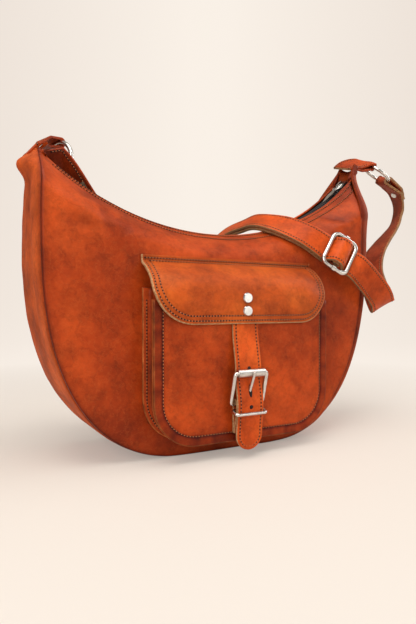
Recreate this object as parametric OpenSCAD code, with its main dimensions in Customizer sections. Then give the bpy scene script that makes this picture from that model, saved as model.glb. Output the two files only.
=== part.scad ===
/* [Bag body] */
// Half of the bag's width at its widest point
bag_half_w = 164; // [140:1:190]
// Depth of the bag from front panel to back panel
bag_depth = 90; // [76:1:110]
// Width of the flat that the bag stands on
base_flat_w = 90; // [70:1:120]
// Height at which the sides are widest
shoulder_z = 200; // [180:1:230]
// Height of the mouth at its lowest point
mouth_z = 198; // [185:1:210]
// Radius of the curved mouth, which the zip follows
mouth_r = 250; // [240:1:280]
// Distance between the two leather lips of the mouth
mouth_gap = 26; // [24:1:32]
// Width below the mouth over which the panels lean together
lean_w = 30; // [24:1:34]
// How far the back lip is pulled up at the left horn
back_lift = 31; // [20:1:34]
// Thickness of the panel leather
leather_t = 2.5; // [1.8:0.1:3]
// Thickness of the lining
lining_t = 0.8; // [0.5:0.1:1.2]
// How far the right side of the gusset bulges out
bulge_right = 12; // [4:1:16]
// How far the left side of the gusset bulges out
bulge_left = 4; // [2:1:10]

/* [Zip] */
// Width of the closed zip teeth
chain_w = 5; // [4:0.5:6]
// Thickness of the closed zip teeth
chain_t = 2.6; // [2:0.2:3]
// Thickness of the zip tape
tape_t = 0.8; // [0.5:0.1:1]
// Depth of the zip below the lips of the mouth
zip_drop = 4; // [3:0.5:6]
// Length of the zip slider
slider_l = 13; // [11:1:16]
// Width of the zip slider
slider_w = 10; // [8.6:0.2:11]
// Thickness of the slider's upper and lower plates
slider_plate = 1.5; // [1.2:0.1:1.8]
// Wire of the link between slider and puller
link_wire = 1.6; // [1.4:0.1:1.8]
// Length of the leaf-shaped puller
puller_l = 22; // [16:1:28]
// Width of the leaf-shaped puller
puller_w = 8; // [7:0.5:10]

/* [Pocket] */
// Width of the front pocket over its edges
pocket_w = 174; // [160:1:180]
// Depth of the front pocket
pocket_d = 26; // [22:1:30]
// Height of the pocket's lower edge above the floor
pocket_low_z = 14; // [10:1:20]
// Height of the pocket's open top
pocket_top_z = 134; // [126:1:138]
// Radius of the pocket's lower corners
pocket_corner = 38; // [30:1:46]
// Width of the pocket's stitched edge
pocket_edge = 8; // [6:0.5:9]
// Thickness of the pocket leather
pocket_t = 2.2; // [1.8:0.1:2.4]
// Sideways place of the pocket's middle
pocket_x = 3; // [0:1:6]
// Width of the flap
flap_w = 176; // [170:1:186]
// Height of the flap's lower edge
flap_low_z = 114; // [110:1:120]
// Height of the flap's upper edge
flap_top_z = 173; // [170:1:176]
// Radius of the flap's lower corners
flap_corner = 34; // [26:1:40]
// Thickness of the flap leather
flap_t = 2.5; // [2:0.1:2.8]

/* [Closure] */
// Width of the closure strap
closure_w = 25.4; // [22:0.2:27]
// Thickness of the closure strap
closure_t = 2.5; // [2:0.1:2.8]
// Height of the closure strap's tip above the floor
closure_tip_z = 8; // [5:1:12]
// Wire of the buckle frame
frame_wire = 3.6; // [3:0.2:4]
// Inner width of the buckle frame
frame_in_w = 27.6; // [27.4:0.2:30]
// Distance from the buckle's bar to its roller
frame_pitch = 27; // [24:1:30]
// Outer diameter of the roller
roller_d = 6.6; // [6.2:0.2:7]
// Thickness of the buckle's tongue
tongue_wire = 2.6; // [2.2:0.2:2.8]
// Wire of the strap keeper
keeper_wire = 2.8; // [2.4:0.2:3]
// Width of the leather chape that holds the buckle
chape_w = 24; // [22:1:25]
// Diameter of the cap rivets
rivet_d = 9; // [8:0.5:10]

/* [Shoulder strap] */
// Width of the shoulder strap
strap_w = 28; // [24:1:29]
// Thickness of the shoulder strap
strap_t = 2.8; // [2:0.2:3]
// Wire of the two rings
ring_wire = 4; // [3:0.2:4.4]
// Inner diameter of the two rings
ring_in_d = 29; // [28:0.5:32]
// Thickness of the leather tabs that hold the rings
tab_t = 2.4; // [2:0.1:2.8]
// Width of the leather tabs that hold the rings
tab_w = 25; // [22:1:27]
// Wire of the strap adjuster
adjuster_wire = 4.4; // [3.6:0.2:4.8]
// Inner width of the strap adjuster
adjuster_in_w = 31.5; // [31:0.5:33]
// Inner length of the strap adjuster
adjuster_in_l = 22; // [21:1:25]

/* [Hidden] */
$fn = 48;
leather = "#b5522a";
leather_light = "#cc6633";
leather_dark = "#8a3a1e";
metal = "#d4d4d6";
black = "#222222";
fit_gap = 0.3;
pin_gap = 0.08;
seam_gap = 0.2;
overrun = 1;
half_depth = bag_depth / 2;
half_mouth = mouth_gap / 2;
arc_top = mouth_z + mouth_r;

// Outline of the bag seen from the front
side_steps = 14;
rise_steps = 6;
side_x_power = 0.91;
side_z_power = 0.715;
right_tip_share = 1.134;
left_tip_share = 0.976;
lip_end_share = 0.975;
rise_bend_right_share = 1.225;
rise_bend_left_share = 1.15;
base_split_share = 0.45;

function mouth_at(x) = arc_top - sqrt(mouth_r * mouth_r - x * x);
function below_mouth(x, z) = norm([x, arc_top - z]) - mouth_r;
function lean_out(below, over) =
    half_mouth + (half_depth - half_mouth) * sin(90 * min(1, max(0, below) / over));
function front_depth(x, z) = lean_out(below_mouth(x, z), lean_w);
// The strap pulls the back lip up at the left horn, and flattens the panel below it
lift_from_share = 0.52;
lift_to_share = 0.82;
lift_fall_share = 0.35;
lift_lean_share = 1.7;
function ease(t) = let (u = min(1, max(0, t))) u * u * (3 - 2 * u);
function lift_share(x) = ease((-x / bag_half_w - lift_from_share) / (lift_to_share - lift_from_share));
function back_mouth_at(x) =
    let (peak = -bag_half_w * lift_to_share)
    x > peak
        ? mouth_at(x) + back_lift * lift_share(x)
        : mouth_at(peak) + back_lift - lift_fall_share * (peak - x);
function back_depth(x, z) = lean_out(
    below_mouth(x, z + mouth_at(x) - back_mouth_at(x)),
    lean_w * (1 + lift_lean_share * lift_share(x))
);
function depth_at(side, x, z) = side < 0 ? front_depth(x, z) : back_depth(x, z);
function bezier3(a, b, c, t) = (1 - t) * (1 - t) * a + 2 * t * (1 - t) * b + t * t * c;
function side_curve(t) = [
    base_flat_w / 2 + (bag_half_w - base_flat_w / 2) * pow(sin(t), side_x_power),
    shoulder_z * (1 - pow(cos(t), side_z_power))
];
function tip(share) = [bag_half_w * share, mouth_at(bag_half_w * share) + leather_t];
function half_outline(tip_share, bend_share) = concat(
    [[base_flat_w / 2, 0]],
    [for (i = [1:side_steps]) side_curve(90 * sin(90 * i / side_steps))],
    [for (i = [1:rise_steps]) bezier3(
        [bag_half_w, shoulder_z],
        [bag_half_w, shoulder_z * bend_share],
        tip(tip_share),
        i / rise_steps
    )]
);
function flip(points) = [for (i = [len(points) - 1:-1:0]) points[i]];
outline = concat(
    flip([for (p = half_outline(left_tip_share, rise_bend_left_share)) [-p.x, p.y]]),
    [[base_flat_w / 2 * base_split_share, 0]],
    half_outline(right_tip_share, rise_bend_right_share)
);
last = len(outline) - 1;
// Unit normal that points out of the outline
function outward(i) =
    let (a = outline[max(0, i - 1)], b = outline[min(last, i + 1)], d = (b - a) / norm(b - a))
    [d.y, -d.x];
// Point of the front or back lip that faces point i of the outline
function mouth_point(side, i, low) =
    let (
        x0 = -bag_half_w * left_tip_share * lip_end_share,
        x1 = bag_half_w * right_tip_share * lip_end_share,
        x = x0 + (x1 - x0) * i / last
    )
    [x, (side < 0 ? mouth_at(x) : back_mouth_at(x)) - low];
row_shares = [0, 0.1, 0.2, 0.35, 0.48, 0.57, 0.65, 0.72, 0.78, 0.83, 0.87, 0.91, 0.94, 0.97, 1];
// Grid of panel points, inset from the edge and set in from the outer face; some
// columns can be left out at the horns
function panel_grid(side, inset, low, deep, skip = 0) = [
    for (v = row_shares) [
        for (i = [skip:last - skip])
            let (p = (outline[i] - inset * outward(i)) * (1 - v) + mouth_point(side, i, low) * v)
            [p.x, side * (depth_at(side, p.x, p.y) - deep), p.y]
    ]
];
// Grid of gusset points across the depth of the bag, set in from the outer face
across_shares = [-1, -0.97, -0.88, -0.62, 0.62, 0.88, 0.97, 1];
bulge_power = 4;
bulge_rise_share = 0.6;
function bulge_at(i) =
    let (p = outline[i], side = p.x < 0 ? bulge_left : bulge_right)
    side * pow(p.y / shoulder_z, bulge_rise_share) * min(1, front_depth(p.x, p.y) / half_depth);
function gusset_grid(deep, short, skip = 0) = [
    for (s = across_shares) [
        for (i = [skip:last - skip])
            let (
                p = outline[i],
                out = bulge_at(i) * sqrt(1 - pow(abs(s), bulge_power)) - deep,
                q = p + out * outward(i),
                wide = min(depth_at(s, p.x, p.y), depth_at(s, q.x, q.y)),
                skived = deep > 0 ? 2 * fit_gap + leather_t * (1 - wide / half_depth) : 0,
                half = wide - short - skived
            )
            [q.x, s * half, q.y]
    ]
];
// Closed shell between an outer and an inner grid of the same size
module shell_between(outer, inner) {
    rows = len(outer);
    cols = len(outer[0]);
    count = rows * cols;
    points = concat([for (row = outer) each row], [for (row = inner) each row]);
    quads = [
        for (i = [0:rows - 2], j = [0:cols - 2])
            [i * cols + j, i * cols + j + 1, (i + 1) * cols + j + 1, (i + 1) * cols + j]
    ];
    rim = concat(
        [for (j = [0:cols - 2]) [j, j + 1]],
        [for (i = [0:rows - 2]) [i * cols + cols - 1, (i + 1) * cols + cols - 1]],
        [for (j = [cols - 1:-1:1]) [(rows - 1) * cols + j, (rows - 1) * cols + j - 1]],
        [for (i = [rows - 1:-1:1]) [i * cols, (i - 1) * cols]]
    );
    faces = concat(
        [for (q = quads) [q[0], q[1], q[2]]],
        [for (q = quads) [q[0], q[2], q[3]]],
        [for (q = quads) [count + q[2], count + q[1], count + q[0]]],
        [for (q = quads) [count + q[3], count + q[2], count + q[0]]],
        [for (e = rim) [e[1], e[0], count + e[0]]],
        [for (e = rim) [e[1], count + e[0], count + e[1]]]
    );
    polyhedron(points = points, faces = faces);
}

module front_panel() {
    color(leather)
        shell_between(panel_grid(-1, 0, 0, leather_t), panel_grid(-1, 0, 0, 0));
}

module back_panel() {
    color(leather)
        shell_between(panel_grid(1, 0, 0, 0), panel_grid(1, 0, 0, leather_t));
}

module gusset() {
    short = leather_t + seam_gap;
    color(leather)
        shell_between(gusset_grid(0, short), gusset_grid(leather_t, short));
}

horn_skip = 5;
lining_inset = 2 * leather_t + seam_gap;
lining_low = zip_drop + chain_t;
lining_near = leather_t + 6 * fit_gap;
lining_far = lining_near + lining_t;
function lining_grid(side, deep) = panel_grid(side, lining_inset, lining_low, deep, horn_skip);
module lining_front() {
    color("#6b5a48")
        shell_between(lining_grid(-1, lining_far), lining_grid(-1, lining_near));
}
module lining_back() {
    color("#6b5a48")
        shell_between(lining_grid(1, lining_near), lining_grid(1, lining_far));
}
module lining_gusset() {
    edge = lining_far + seam_gap;
    color("#6b5a48")
        shell_between(gusset_grid(lining_near, edge, horn_skip), gusset_grid(lining_far, edge, horn_skip));
}

// Zip along the curved mouth
zip_r = mouth_r + zip_drop;
zip_start_share = 0.87;
zip_left_deg = asin(bag_half_w * left_tip_share * zip_start_share / mouth_r);
zip_end_share = 0.95;
zip_right_deg = asin(bag_half_w * right_tip_share * zip_end_share / mouth_r);
slider_deg = zip_right_deg - 0.75 * slider_l / zip_r * 180 / PI;
stop_l = 3;
stop_w = chain_w + 2 * tape_t;
stop_t = chain_t - tape_t / 2;
module mouth_arc(from_deg, to_deg, y0, y1, r0, r1) {
    translate([0, 0, arc_top])
        rotate([90, 0, 0])
        rotate([0, 0, -90 + from_deg])
        rotate_extrude(angle = to_deg - from_deg, $fn = 180)
        translate([r0, -y1])
        square([r1 - r0, y1 - y0]);
}
// Puts children on the zip's centre line, x along the zip and z up
module on_zip(deg) {
    translate([0, 0, arc_top])
        rotate([0, -deg, 0])
        translate([0, 0, -zip_r])
        children();
}

module zip_tape(side) {
    inner = chain_w / 2 + seam_gap;
    outer = half_mouth - leather_t;
    y0 = side > 0 ? inner : -outer;
    y1 = side > 0 ? outer : -inner;
    color(black)
        mouth_arc(-zip_left_deg, zip_right_deg, y0, y1, zip_r - tape_t / 2, zip_r + tape_t / 2);
}
module zip_tape_front() {
    zip_tape(-1);
}
module zip_tape_back() {
    zip_tape(1);
}

module zip_chain() {
    half = chain_w / 2;
    color("#333333")
        mouth_arc(-zip_left_deg + stop_l / zip_r * 180 / PI, slider_deg, -half, half,
            zip_r - chain_t / 2, zip_r + chain_t / 2);
}

module zip_stops() {
    color(metal) {
        on_zip(-zip_left_deg)
            translate([0, -stop_w / 2, tape_t / 2 + seam_gap])
            cube([stop_l - seam_gap, stop_w, stop_t]);
        on_zip(zip_right_deg)
            translate([-stop_l, -stop_w / 2, tape_t / 2 + seam_gap])
            cube([stop_l, stop_w, stop_t]);
    }
}

bridge_h = link_wire + 2 * fit_gap;
bridge_t = 1.4;
bridge_l_share = 0.62;
plate_top = chain_t / 2 + fit_gap + slider_plate;
link_z = plate_top + fit_gap + link_wire / 2;
module zip_slider() {
    body_h = 2 * plate_top;
    slot_t = tape_t + 2 * fit_gap;
    chan_w = chain_w + 2 * fit_gap;
    chan_t = chain_t + 2 * fit_gap;
    span = slider_l / zip_r * 180 / PI;
    bridge_l = slider_l * bridge_l_share;
    color(metal) {
        difference() {
            on_zip(slider_deg)
                translate([-slider_l / 2, -slider_w / 2, -plate_top])
                cube([slider_l, slider_w, body_h]);
            mouth_arc(slider_deg - span, slider_deg + span, -chan_w / 2, chan_w / 2,
                zip_r - chan_t / 2, zip_r + chan_t / 2);
            mouth_arc(slider_deg - span, slider_deg + span, -slider_w, slider_w,
                zip_r - slot_t / 2, zip_r + slot_t / 2);
        }
        on_zip(slider_deg) {
            translate([slider_l / 8, -slider_plate / 2, -plate_top + slider_plate / 2])
                cube([slider_l / 4, slider_plate, body_h - slider_plate]);
            translate([-bridge_l / 2, -slider_plate, plate_top + bridge_h])
                cube([bridge_l, 2 * slider_plate, bridge_t]);
            for (s = [-1, 1])
                translate([s * (bridge_l - bridge_t) / 2 - bridge_t / 2, -slider_plate, plate_top / 2])
                cube([bridge_t, 2 * slider_plate, plate_top / 2 + bridge_h + bridge_t / 2]);
        }
    }
}

link_l = 9;
link_in_w = 4.6;
module zip_link() {
    half = link_in_w / 2 + link_wire / 2;
    color(metal)
        on_zip(slider_deg)
        translate([0, 0, link_z]) {
            for (x = [0, -link_l])
                translate([x, 0, 0])
                rotate([90, 0, 0])
                cylinder(d = link_wire, h = 2 * half, center = true);
            for (s = [-1, 1])
                translate([0, s * half, 0])
                rotate([0, -90, 0])
                cylinder(d = link_wire, h = link_l);
            for (x = [0, -link_l], s = [-1, 1])
                translate([x, s * half, 0])
                sphere(d = link_wire);
        }
}

puller_t = 1.6;
puller_hole_r = link_wire / 2 + fit_gap;
leaf_shares = [[0, 0.34], [0.12, 0.42], [0.3, 0.5], [0.5, 0.48], [0.72, 0.34], [0.9, 0.14], [1, 0.03]];
module zip_puller() {
    start = puller_hole_r + bridge_t;
    leaf = concat(
        [for (p = leaf_shares) [-p.x * puller_l, p.y * puller_w]],
        [for (p = flip(leaf_shares)) [-p.x * puller_l, -p.y * puller_w]]
    );
    eye_w = link_in_w - 2 * fit_gap;
    color(metal)
        on_zip(slider_deg)
        translate([-link_l, 0, link_z]) {
            translate([-start + bridge_t / 2, 0, -puller_t / 2])
                linear_extrude(puller_t)
                polygon(leaf);
            rotate([90, 0, 0])
                difference() {
                    cylinder(r = start, h = eye_w, center = true);
                    cylinder(r = puller_hole_r, h = eye_w + overrun, center = true);
                }
        }
}

// Front pocket
pocket_back_y = -half_depth;
pocket_front_y = pocket_back_y - pocket_d;
// U-shaped outline of the pocket, set in from its edge
module pocket_shape(inset) {
    w = pocket_w / 2 - inset;
    r = pocket_corner - inset;
    low = pocket_low_z + inset;
    translate([pocket_x, 0])
        union() {
            translate([-w, low + r])
                square([2 * w, pocket_top_z - low - r]);
            translate([-w + r, low])
                square([2 * (w - r), r + overrun]);
            for (s = [-1, 1])
                translate([s * (w - r), low + r])
                circle(r = r);
        }
}
// Extrudes a front view from depth y0 forward to y1
module toward_front(y0, y1) {
    translate([0, y0, 0])
        rotate([90, 0, 0])
        linear_extrude(y0 - y1)
        children();
}

module pocket_front() {
    color(leather)
        toward_front(pocket_front_y + pocket_t, pocket_front_y)
        pocket_shape(0);
}

module pocket_gusset() {
    web_in = pocket_edge + pocket_t;
    back = pocket_back_y - seam_gap;
    front = pocket_front_y + pocket_t + seam_gap;
    color(leather_dark) {
        toward_front(back, front)
            difference() {
                pocket_shape(pocket_edge);
                pocket_shape(web_in);
                translate([pocket_x - pocket_w / 2, pocket_top_z - seam_gap])
                    square([pocket_w, pocket_edge]);
            }
        for (y = [back, front + pocket_t])
            toward_front(y, y - pocket_t)
            difference() {
                pocket_shape(0);
                pocket_shape(pocket_edge - seam_gap / 2);
            }
    }
}

// Middle line of the flap's leather below its bend: depth from the bag and height
flap_depth = pocket_d + closure_t + 3 * fit_gap;
flap_y_shares = [0, 0.1, 0.3, 0.68, 0.9, 0.985, 1];
flap_z_shares = [0.89, 0.85, 0.8, 0.66, 0.5, 0.34, 0];
flap_h = flap_top_z - flap_low_z;
flap_back = half_depth + seam_gap;
bend_depth = flap_back + flap_t / 2;
bend_z = flap_low_z + flap_h * flap_z_shares[0];
smooth_steps = 4;
function catmull(a, b, c, d, t) =
    0.5 * ((2 * b) + (c - a) * t + (2 * a - 5 * b + 4 * c - d) * t * t + (3 * b - a - 3 * c + d) * t * t * t);
// Smooth curve through all the given points
function smooth(points, steps) = concat(
    [for (i = [0:len(points) - 2], k = [0:steps - 1]) catmull(
        points[max(0, i - 1)], points[i], points[i + 1], points[min(len(points) - 1, i + 2)], k / steps
    )],
    [points[len(points) - 1]]
);
// Unit normal on the left side of a flat curve
function side_of(points, i) =
    let (
        a = points[max(0, i - 1)],
        b = points[min(len(points) - 1, i + 1)],
        d = (b - a) / norm(b - a)
    )
    [-d.y, d.x];
// Closed band of even thickness t, from the given distance on the left side of a flat curve
function band(points, t, from = 0) = concat(
    [for (i = [0:len(points) - 1]) points[i] + from * side_of(points, i)],
    flip([for (i = [0:len(points) - 1]) points[i] + (from + t) * side_of(points, i)])
);
// Solid with a side profile of depth and height, wide in x
module side_profile(x0, width) {
    translate([x0 + width / 2, 0, 0])
        rotate([90, 0, -90])
        linear_extrude(width)
        children();
}

flap_curve = smooth([
    for (i = [0:len(flap_y_shares) - 1])
        [bend_depth + flap_depth * flap_y_shares[i], flap_low_z + flap_h * flap_z_shares[i]]
], smooth_steps);
module flap_shape() {
    w = flap_w / 2;
    r = flap_corner;
    translate([pocket_x, 0])
        union() {
            translate([-w, flap_low_z + r])
                square([2 * w, flap_h]);
            translate([-w + r, flap_low_z - overrun])
                square([2 * (w - r), r + 2 * overrun]);
            for (s = [-1, 1])
                translate([s * (w - r), flap_low_z + r])
                circle(r = r);
        }
}
// The stitched edge above the bend, where the flap is sewn to the front panel
module flap_edge() {
    low = bend_z + flap_t / 2 + 5 * fit_gap;
    color(leather_light)
        translate([pocket_x - flap_w / 2, -flap_back - flap_t, low])
        cube([flap_w, flap_t, flap_top_z - low]);
}
module pocket_flap() {
    color(leather_light)
        difference() {
            intersection() {
                side_profile(pocket_x, flap_w)
                    union() {
                        polygon(band(flap_curve, flap_t, -flap_t / 2));
                        translate([bend_depth, bend_z])
                            circle(d = flap_t);
                    }
                toward_front(0, -bag_depth)
                    flap_shape();
            }
            for (z = rivet_z)
                translate([closure_x, -half_depth, z])
                rotate([90, 0, 0])
                cylinder(r = post_r + pin_gap, h = bag_depth);
        }
}

// Rivets through the flap and the closure strap
closure_x = -1;
post_r = 1.6;
cap_t = 1.1;
cap_top_share = 0.86;
rivet_pitch = 11;
rivet_z = [flap_low_z + rivet_pitch, flap_low_z + 2 * rivet_pitch];
flap_face = flap_back + flap_depth + flap_t;
module flap_rivets() {
    back = flap_face - flap_t - closure_t - 2 * fit_gap;
    color(metal)
        for (z = rivet_z) {
            translate([closure_x, -back, z])
                rotate([90, 0, 0])
                cylinder(r = post_r, h = flap_face - back + cap_t / 2);
            translate([closure_x, -flap_face - pin_gap, z])
                rotate([90, 0, 0])
                cylinder(d1 = rivet_d, d2 = cap_top_share * rivet_d, h = cap_t);
        }
}

// Buckle: its bar, roller and the tilt between them
bar_r = frame_wire / 2;
chape_in = bar_r + pin_gap;
bar_depth = -pocket_front_y + pocket_t + fit_gap + chape_in;
bar_z = 47;
chape_front = bar_depth + chape_in + pocket_t;
strap_under = chape_front + fit_gap;
roller_r = roller_d / 2;
roller_z_share = 0.965;
roller_rise = frame_pitch * roller_z_share;
roller_out = sqrt(frame_pitch * frame_pitch - roller_rise * roller_rise);
roller_depth = bar_depth + roller_out;
roller_z = bar_z + roller_rise;
frame_tilt = atan2(roller_out, roller_rise);

// Inner face of the closure strap: depth and height
behind_flap = flap_face - flap_t - fit_gap - closure_t;
behind_roller = roller_depth - roller_r - fit_gap - closure_t;
rivet_margin = 8;
closure_curve = smooth([
    [behind_flap - 0.42 * rivet_margin, rivet_z[1] + rivet_margin],
    [behind_flap - 0.11 * rivet_margin, rivet_z[1]],
    [behind_flap, rivet_z[0]],
    [behind_flap, flap_low_z - rivet_margin],
    [behind_roller, roller_z + roller_d],
    [behind_roller, roller_z - roller_d / 2],
    [strap_under, bar_z + frame_wire],
    [strap_under, bar_z - 2 * frame_wire],
    [strap_under - closure_t / 2, bar_z - 5 * frame_wire],
    [strap_under - closure_t, closure_tip_z]
], smooth_steps);
hole_r = 1.6;
hole_pitch = 16;
prong_hole_z = bar_z + frame_pitch / 2;
prong_slot_z = bar_z + 0.385 * frame_pitch;
module closure_strap() {
    r = closure_w / 2;
    color(leather_light)
        difference() {
            intersection() {
                side_profile(closure_x, closure_w)
                    polygon(band(closure_curve, closure_t));
                toward_front(0, -2 * bag_depth)
                    translate([closure_x, 0])
                    union() {
                        translate([-r, closure_tip_z + r])
                            square([closure_w, flap_top_z]);
                        translate([0, closure_tip_z + r])
                            circle(r = r);
                    }
            }
            for (z = [prong_hole_z - hole_pitch, prong_hole_z + hole_pitch])
                translate([closure_x, 0, z])
                rotate([90, 0, 0])
                cylinder(r = hole_r, h = 2 * bag_depth);
            translate([closure_x, 0, prong_slot_z])
                rotate([90, 0, 0])
                linear_extrude(2 * bag_depth)
                union() {
                    square([2 * tongue_r + 2 * fit_gap, 3 * tongue_wire], center = true);
                    for (s = [-1, 1])
                        translate([0, s * 1.5 * tongue_wire])
                        circle(r = tongue_r + fit_gap);
                }
            for (z = rivet_z)
                translate([closure_x, -half_depth, z])
                rotate([90, 0, 0])
                cylinder(r = post_r + pin_gap, h = bag_depth);
        }
}

// Chape: one leather piece round the bar, its two layers stitched below
chape_low_z = 22;
tongue_r = tongue_wire / 2;
tongue_eye_w = tongue_wire + 2 * fit_gap;
module buckle_chape() {
    outer_r = chape_in + pocket_t;
    back = -pocket_front_y + fit_gap;
    color(leather_dark)
        difference() {
            side_profile(closure_x, chape_w)
                difference() {
                    union() {
                        translate([bar_depth, bar_z])
                            circle(r = outer_r);
                        polygon([
                            [back, bar_z], [back, chape_low_z], [back + 2 * pocket_t, chape_low_z],
                            [back + 2 * pocket_t, bar_z - 5 * frame_wire], [chape_front, keeper_low_z],
                            [chape_front, bar_z]
                        ]);
                    }
                    translate([bar_depth, bar_z])
                        circle(r = chape_in);
                    translate([bar_depth - chape_in, keeper_low_z])
                        square([2 * chape_in, bar_z - keeper_low_z]);
                }
            translate([closure_x - tongue_eye_w / 2, -chape_front - overrun, bar_z - outer_r])
                cube([tongue_eye_w, chape_front - back + 2 * overrun, 2 * outer_r + overrun]);
        }
}

// Rounded rectangle of wire in the x-z plane, its lower bar on the x axis
module wire_loop(wire, in_w, pitch, corner) {
    half = in_w / 2 + wire / 2;
    for (z = [0, pitch])
        translate([0, 0, z])
        rotate([0, 90, 0])
        cylinder(d = wire, h = 2 * (half - corner), center = true);
    for (s = [-1, 1])
        translate([s * half, 0, corner])
        cylinder(d = wire, h = pitch - 2 * corner);
    for (s = [0, 1], u = [0, 1])
        mirror([s, 0, 0])
        translate([half - corner, 0, u == 0 ? corner : pitch - corner])
        mirror([0, 0, u])
        rotate([90, 0, 0])
        rotate([0, 0, -90])
        rotate_extrude(angle = 90)
        translate([corner, 0])
        circle(d = wire);
}
module at_bar() {
    translate([closure_x, -bar_depth, bar_z])
        rotate([frame_tilt, 0, 0])
        children();
}

frame_bend = 0.62 * frame_wire;
module buckle_frame() {
    color(metal)
        at_bar()
        wire_loop(frame_wire, frame_in_w, frame_pitch, frame_bend);
}

module buckle_roller() {
    roller_l = frame_in_w + frame_wire - 2 * frame_bend - 2 * fit_gap;
    color(metal)
        translate([closure_x, -roller_depth, roller_z])
        rotate([0, 90, 0])
        difference() {
            cylinder(r = roller_r, h = roller_l, center = true);
            cylinder(r = bar_r + pin_gap, h = roller_l + overrun, center = true);
        }
}

// The tongue turns on the bar and rests on the front of the roller
tongue_rest = roller_r + tongue_r + pin_gap;
tongue_angle = frame_tilt + asin(tongue_rest / frame_pitch);
tongue_eye_r = bar_r + pin_gap + tongue_wire / 2;
tongue_eye_out = bar_r + pin_gap + 0.8 * tongue_wire;
module buckle_tongue() {
    reach = frame_pitch + roller_r;
    color(metal)
        translate([closure_x, -bar_depth, bar_z]) {
            rotate([0, 90, 0])
                difference() {
                    cylinder(r = tongue_eye_out, h = tongue_wire, center = true);
                    cylinder(r = bar_r + pin_gap, h = tongue_wire + overrun, center = true);
                }
            rotate([tongue_angle, 0, 0]) {
                translate([0, 0, tongue_eye_r - tongue_wire * 0.2])
                    cylinder(r = tongue_r, h = reach - tongue_eye_r);
                translate([0, 0, reach - tongue_wire * 0.2])
                    sphere(r = tongue_r);
            }
        }
}

// The keeper is a wire loop caught in the chape under the bar
keeper_z = bar_z - tongue_eye_out - fit_gap - keeper_wire / 2;
keeper_low_z = keeper_z - keeper_wire / 2 - 2 * fit_gap;
keeper_in_w = closure_w + 5 * fit_gap;
keeper_out = strap_under + closure_t + fit_gap + keeper_wire / 2 - bar_depth;
keeper_tilt_deg = 15;
module strap_keeper() {
    color(metal)
        translate([closure_x, -bar_depth, keeper_z])
        rotate([90 + keeper_tilt_deg, 0, 0])
        wire_loop(keeper_wire, keeper_in_w, keeper_out / cos(keeper_tilt_deg), keeper_wire);
}

// Rings and the tabs that hold them
ring_r = ring_in_d / 2 + ring_wire / 2;
hug_gap = 1.5 * fit_gap;
tab_wrap = ring_wire / 2 + hug_gap + tab_t / 2;
ring_right_at = [bag_half_w * 1.292, 0, shoulder_z * 1.46];
ring_right_hang_deg = 30;
ring_right_roll_deg = 20;
ring_left_at = [-bag_half_w * 0.806, half_depth * 0.845, shoulder_z * 1.3925];
ring_left_turn_deg = 26;
module ring() {
    rotate_extrude()
        translate([ring_r, 0])
        circle(d = ring_wire);
}
module ring_right() {
    color(metal)
        translate(ring_right_at)
        rotate([0, ring_right_hang_deg, 0])
        rotate([ring_right_roll_deg, 0, 0])
        translate([ring_r, 0, 0])
        ring();
}
module ring_left() {
    color(metal)
        translate(ring_left_at)
        rotate([0, 0, ring_left_turn_deg])
        rotate([0, 90, 0])
        translate([ring_r, 0, 0])
        ring();
}

// Shoulder strap: places as shares of half width, half depth and shoulder height, then
// the direction of its width
function place(s) = [s[0] * bag_half_w, s[1] * half_depth, s[2] * shoulder_z];
wrap_r = ring_wire / 2 + hug_gap + strap_t / 2;
right_bar = ring_right_at + 2 * ring_r * [cos(ring_right_hang_deg), 0, -sin(ring_right_hang_deg)];
left_bar = ring_left_at - [0, 0, 2 * ring_r];
hang = [cos(ring_right_hang_deg), 0, -sin(ring_right_hang_deg)];
hang_flat_up = [sin(ring_right_hang_deg), 0, cos(ring_right_hang_deg)];
hang_up = cos(ring_right_roll_deg) * hang_flat_up - [0, sin(ring_right_roll_deg), 0];
hang_across = -sin(ring_right_roll_deg) * hang_flat_up - [0, cos(ring_right_roll_deg), 0];
left_in = [cos(ring_left_turn_deg), sin(ring_left_turn_deg), 0];
left_across = [-sin(ring_left_turn_deg), cos(ring_left_turn_deg), 0];
adjuster_at = [bag_half_w * 0.695, -half_depth * 1.38, shoulder_z * 0.9];
adjuster_t = [0.80, -0.28, -0.53] / norm([0.80, -0.28, -0.53]);
width_guess = [0.58, 0.12, 0.80];
adjuster_flat = width_guess - (width_guess * adjuster_t) * adjuster_t;
adjuster_w = adjuster_flat / norm(adjuster_flat);
adjuster_n = cross(adjuster_t, adjuster_w);
bar_wire = 3;
under_side = adjuster_wire / 2 + fit_gap + strap_t / 2;
over_bar = bar_wire / 2 + 2 * fit_gap + 1.5 * strap_t;
side_at = adjuster_in_l / 2 + adjuster_wire / 2;
function by_adjuster(t, n) = adjuster_at + t * adjuster_t + n * adjuster_n;
layer_gap = strap_t + 2 * fit_gap;
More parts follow.
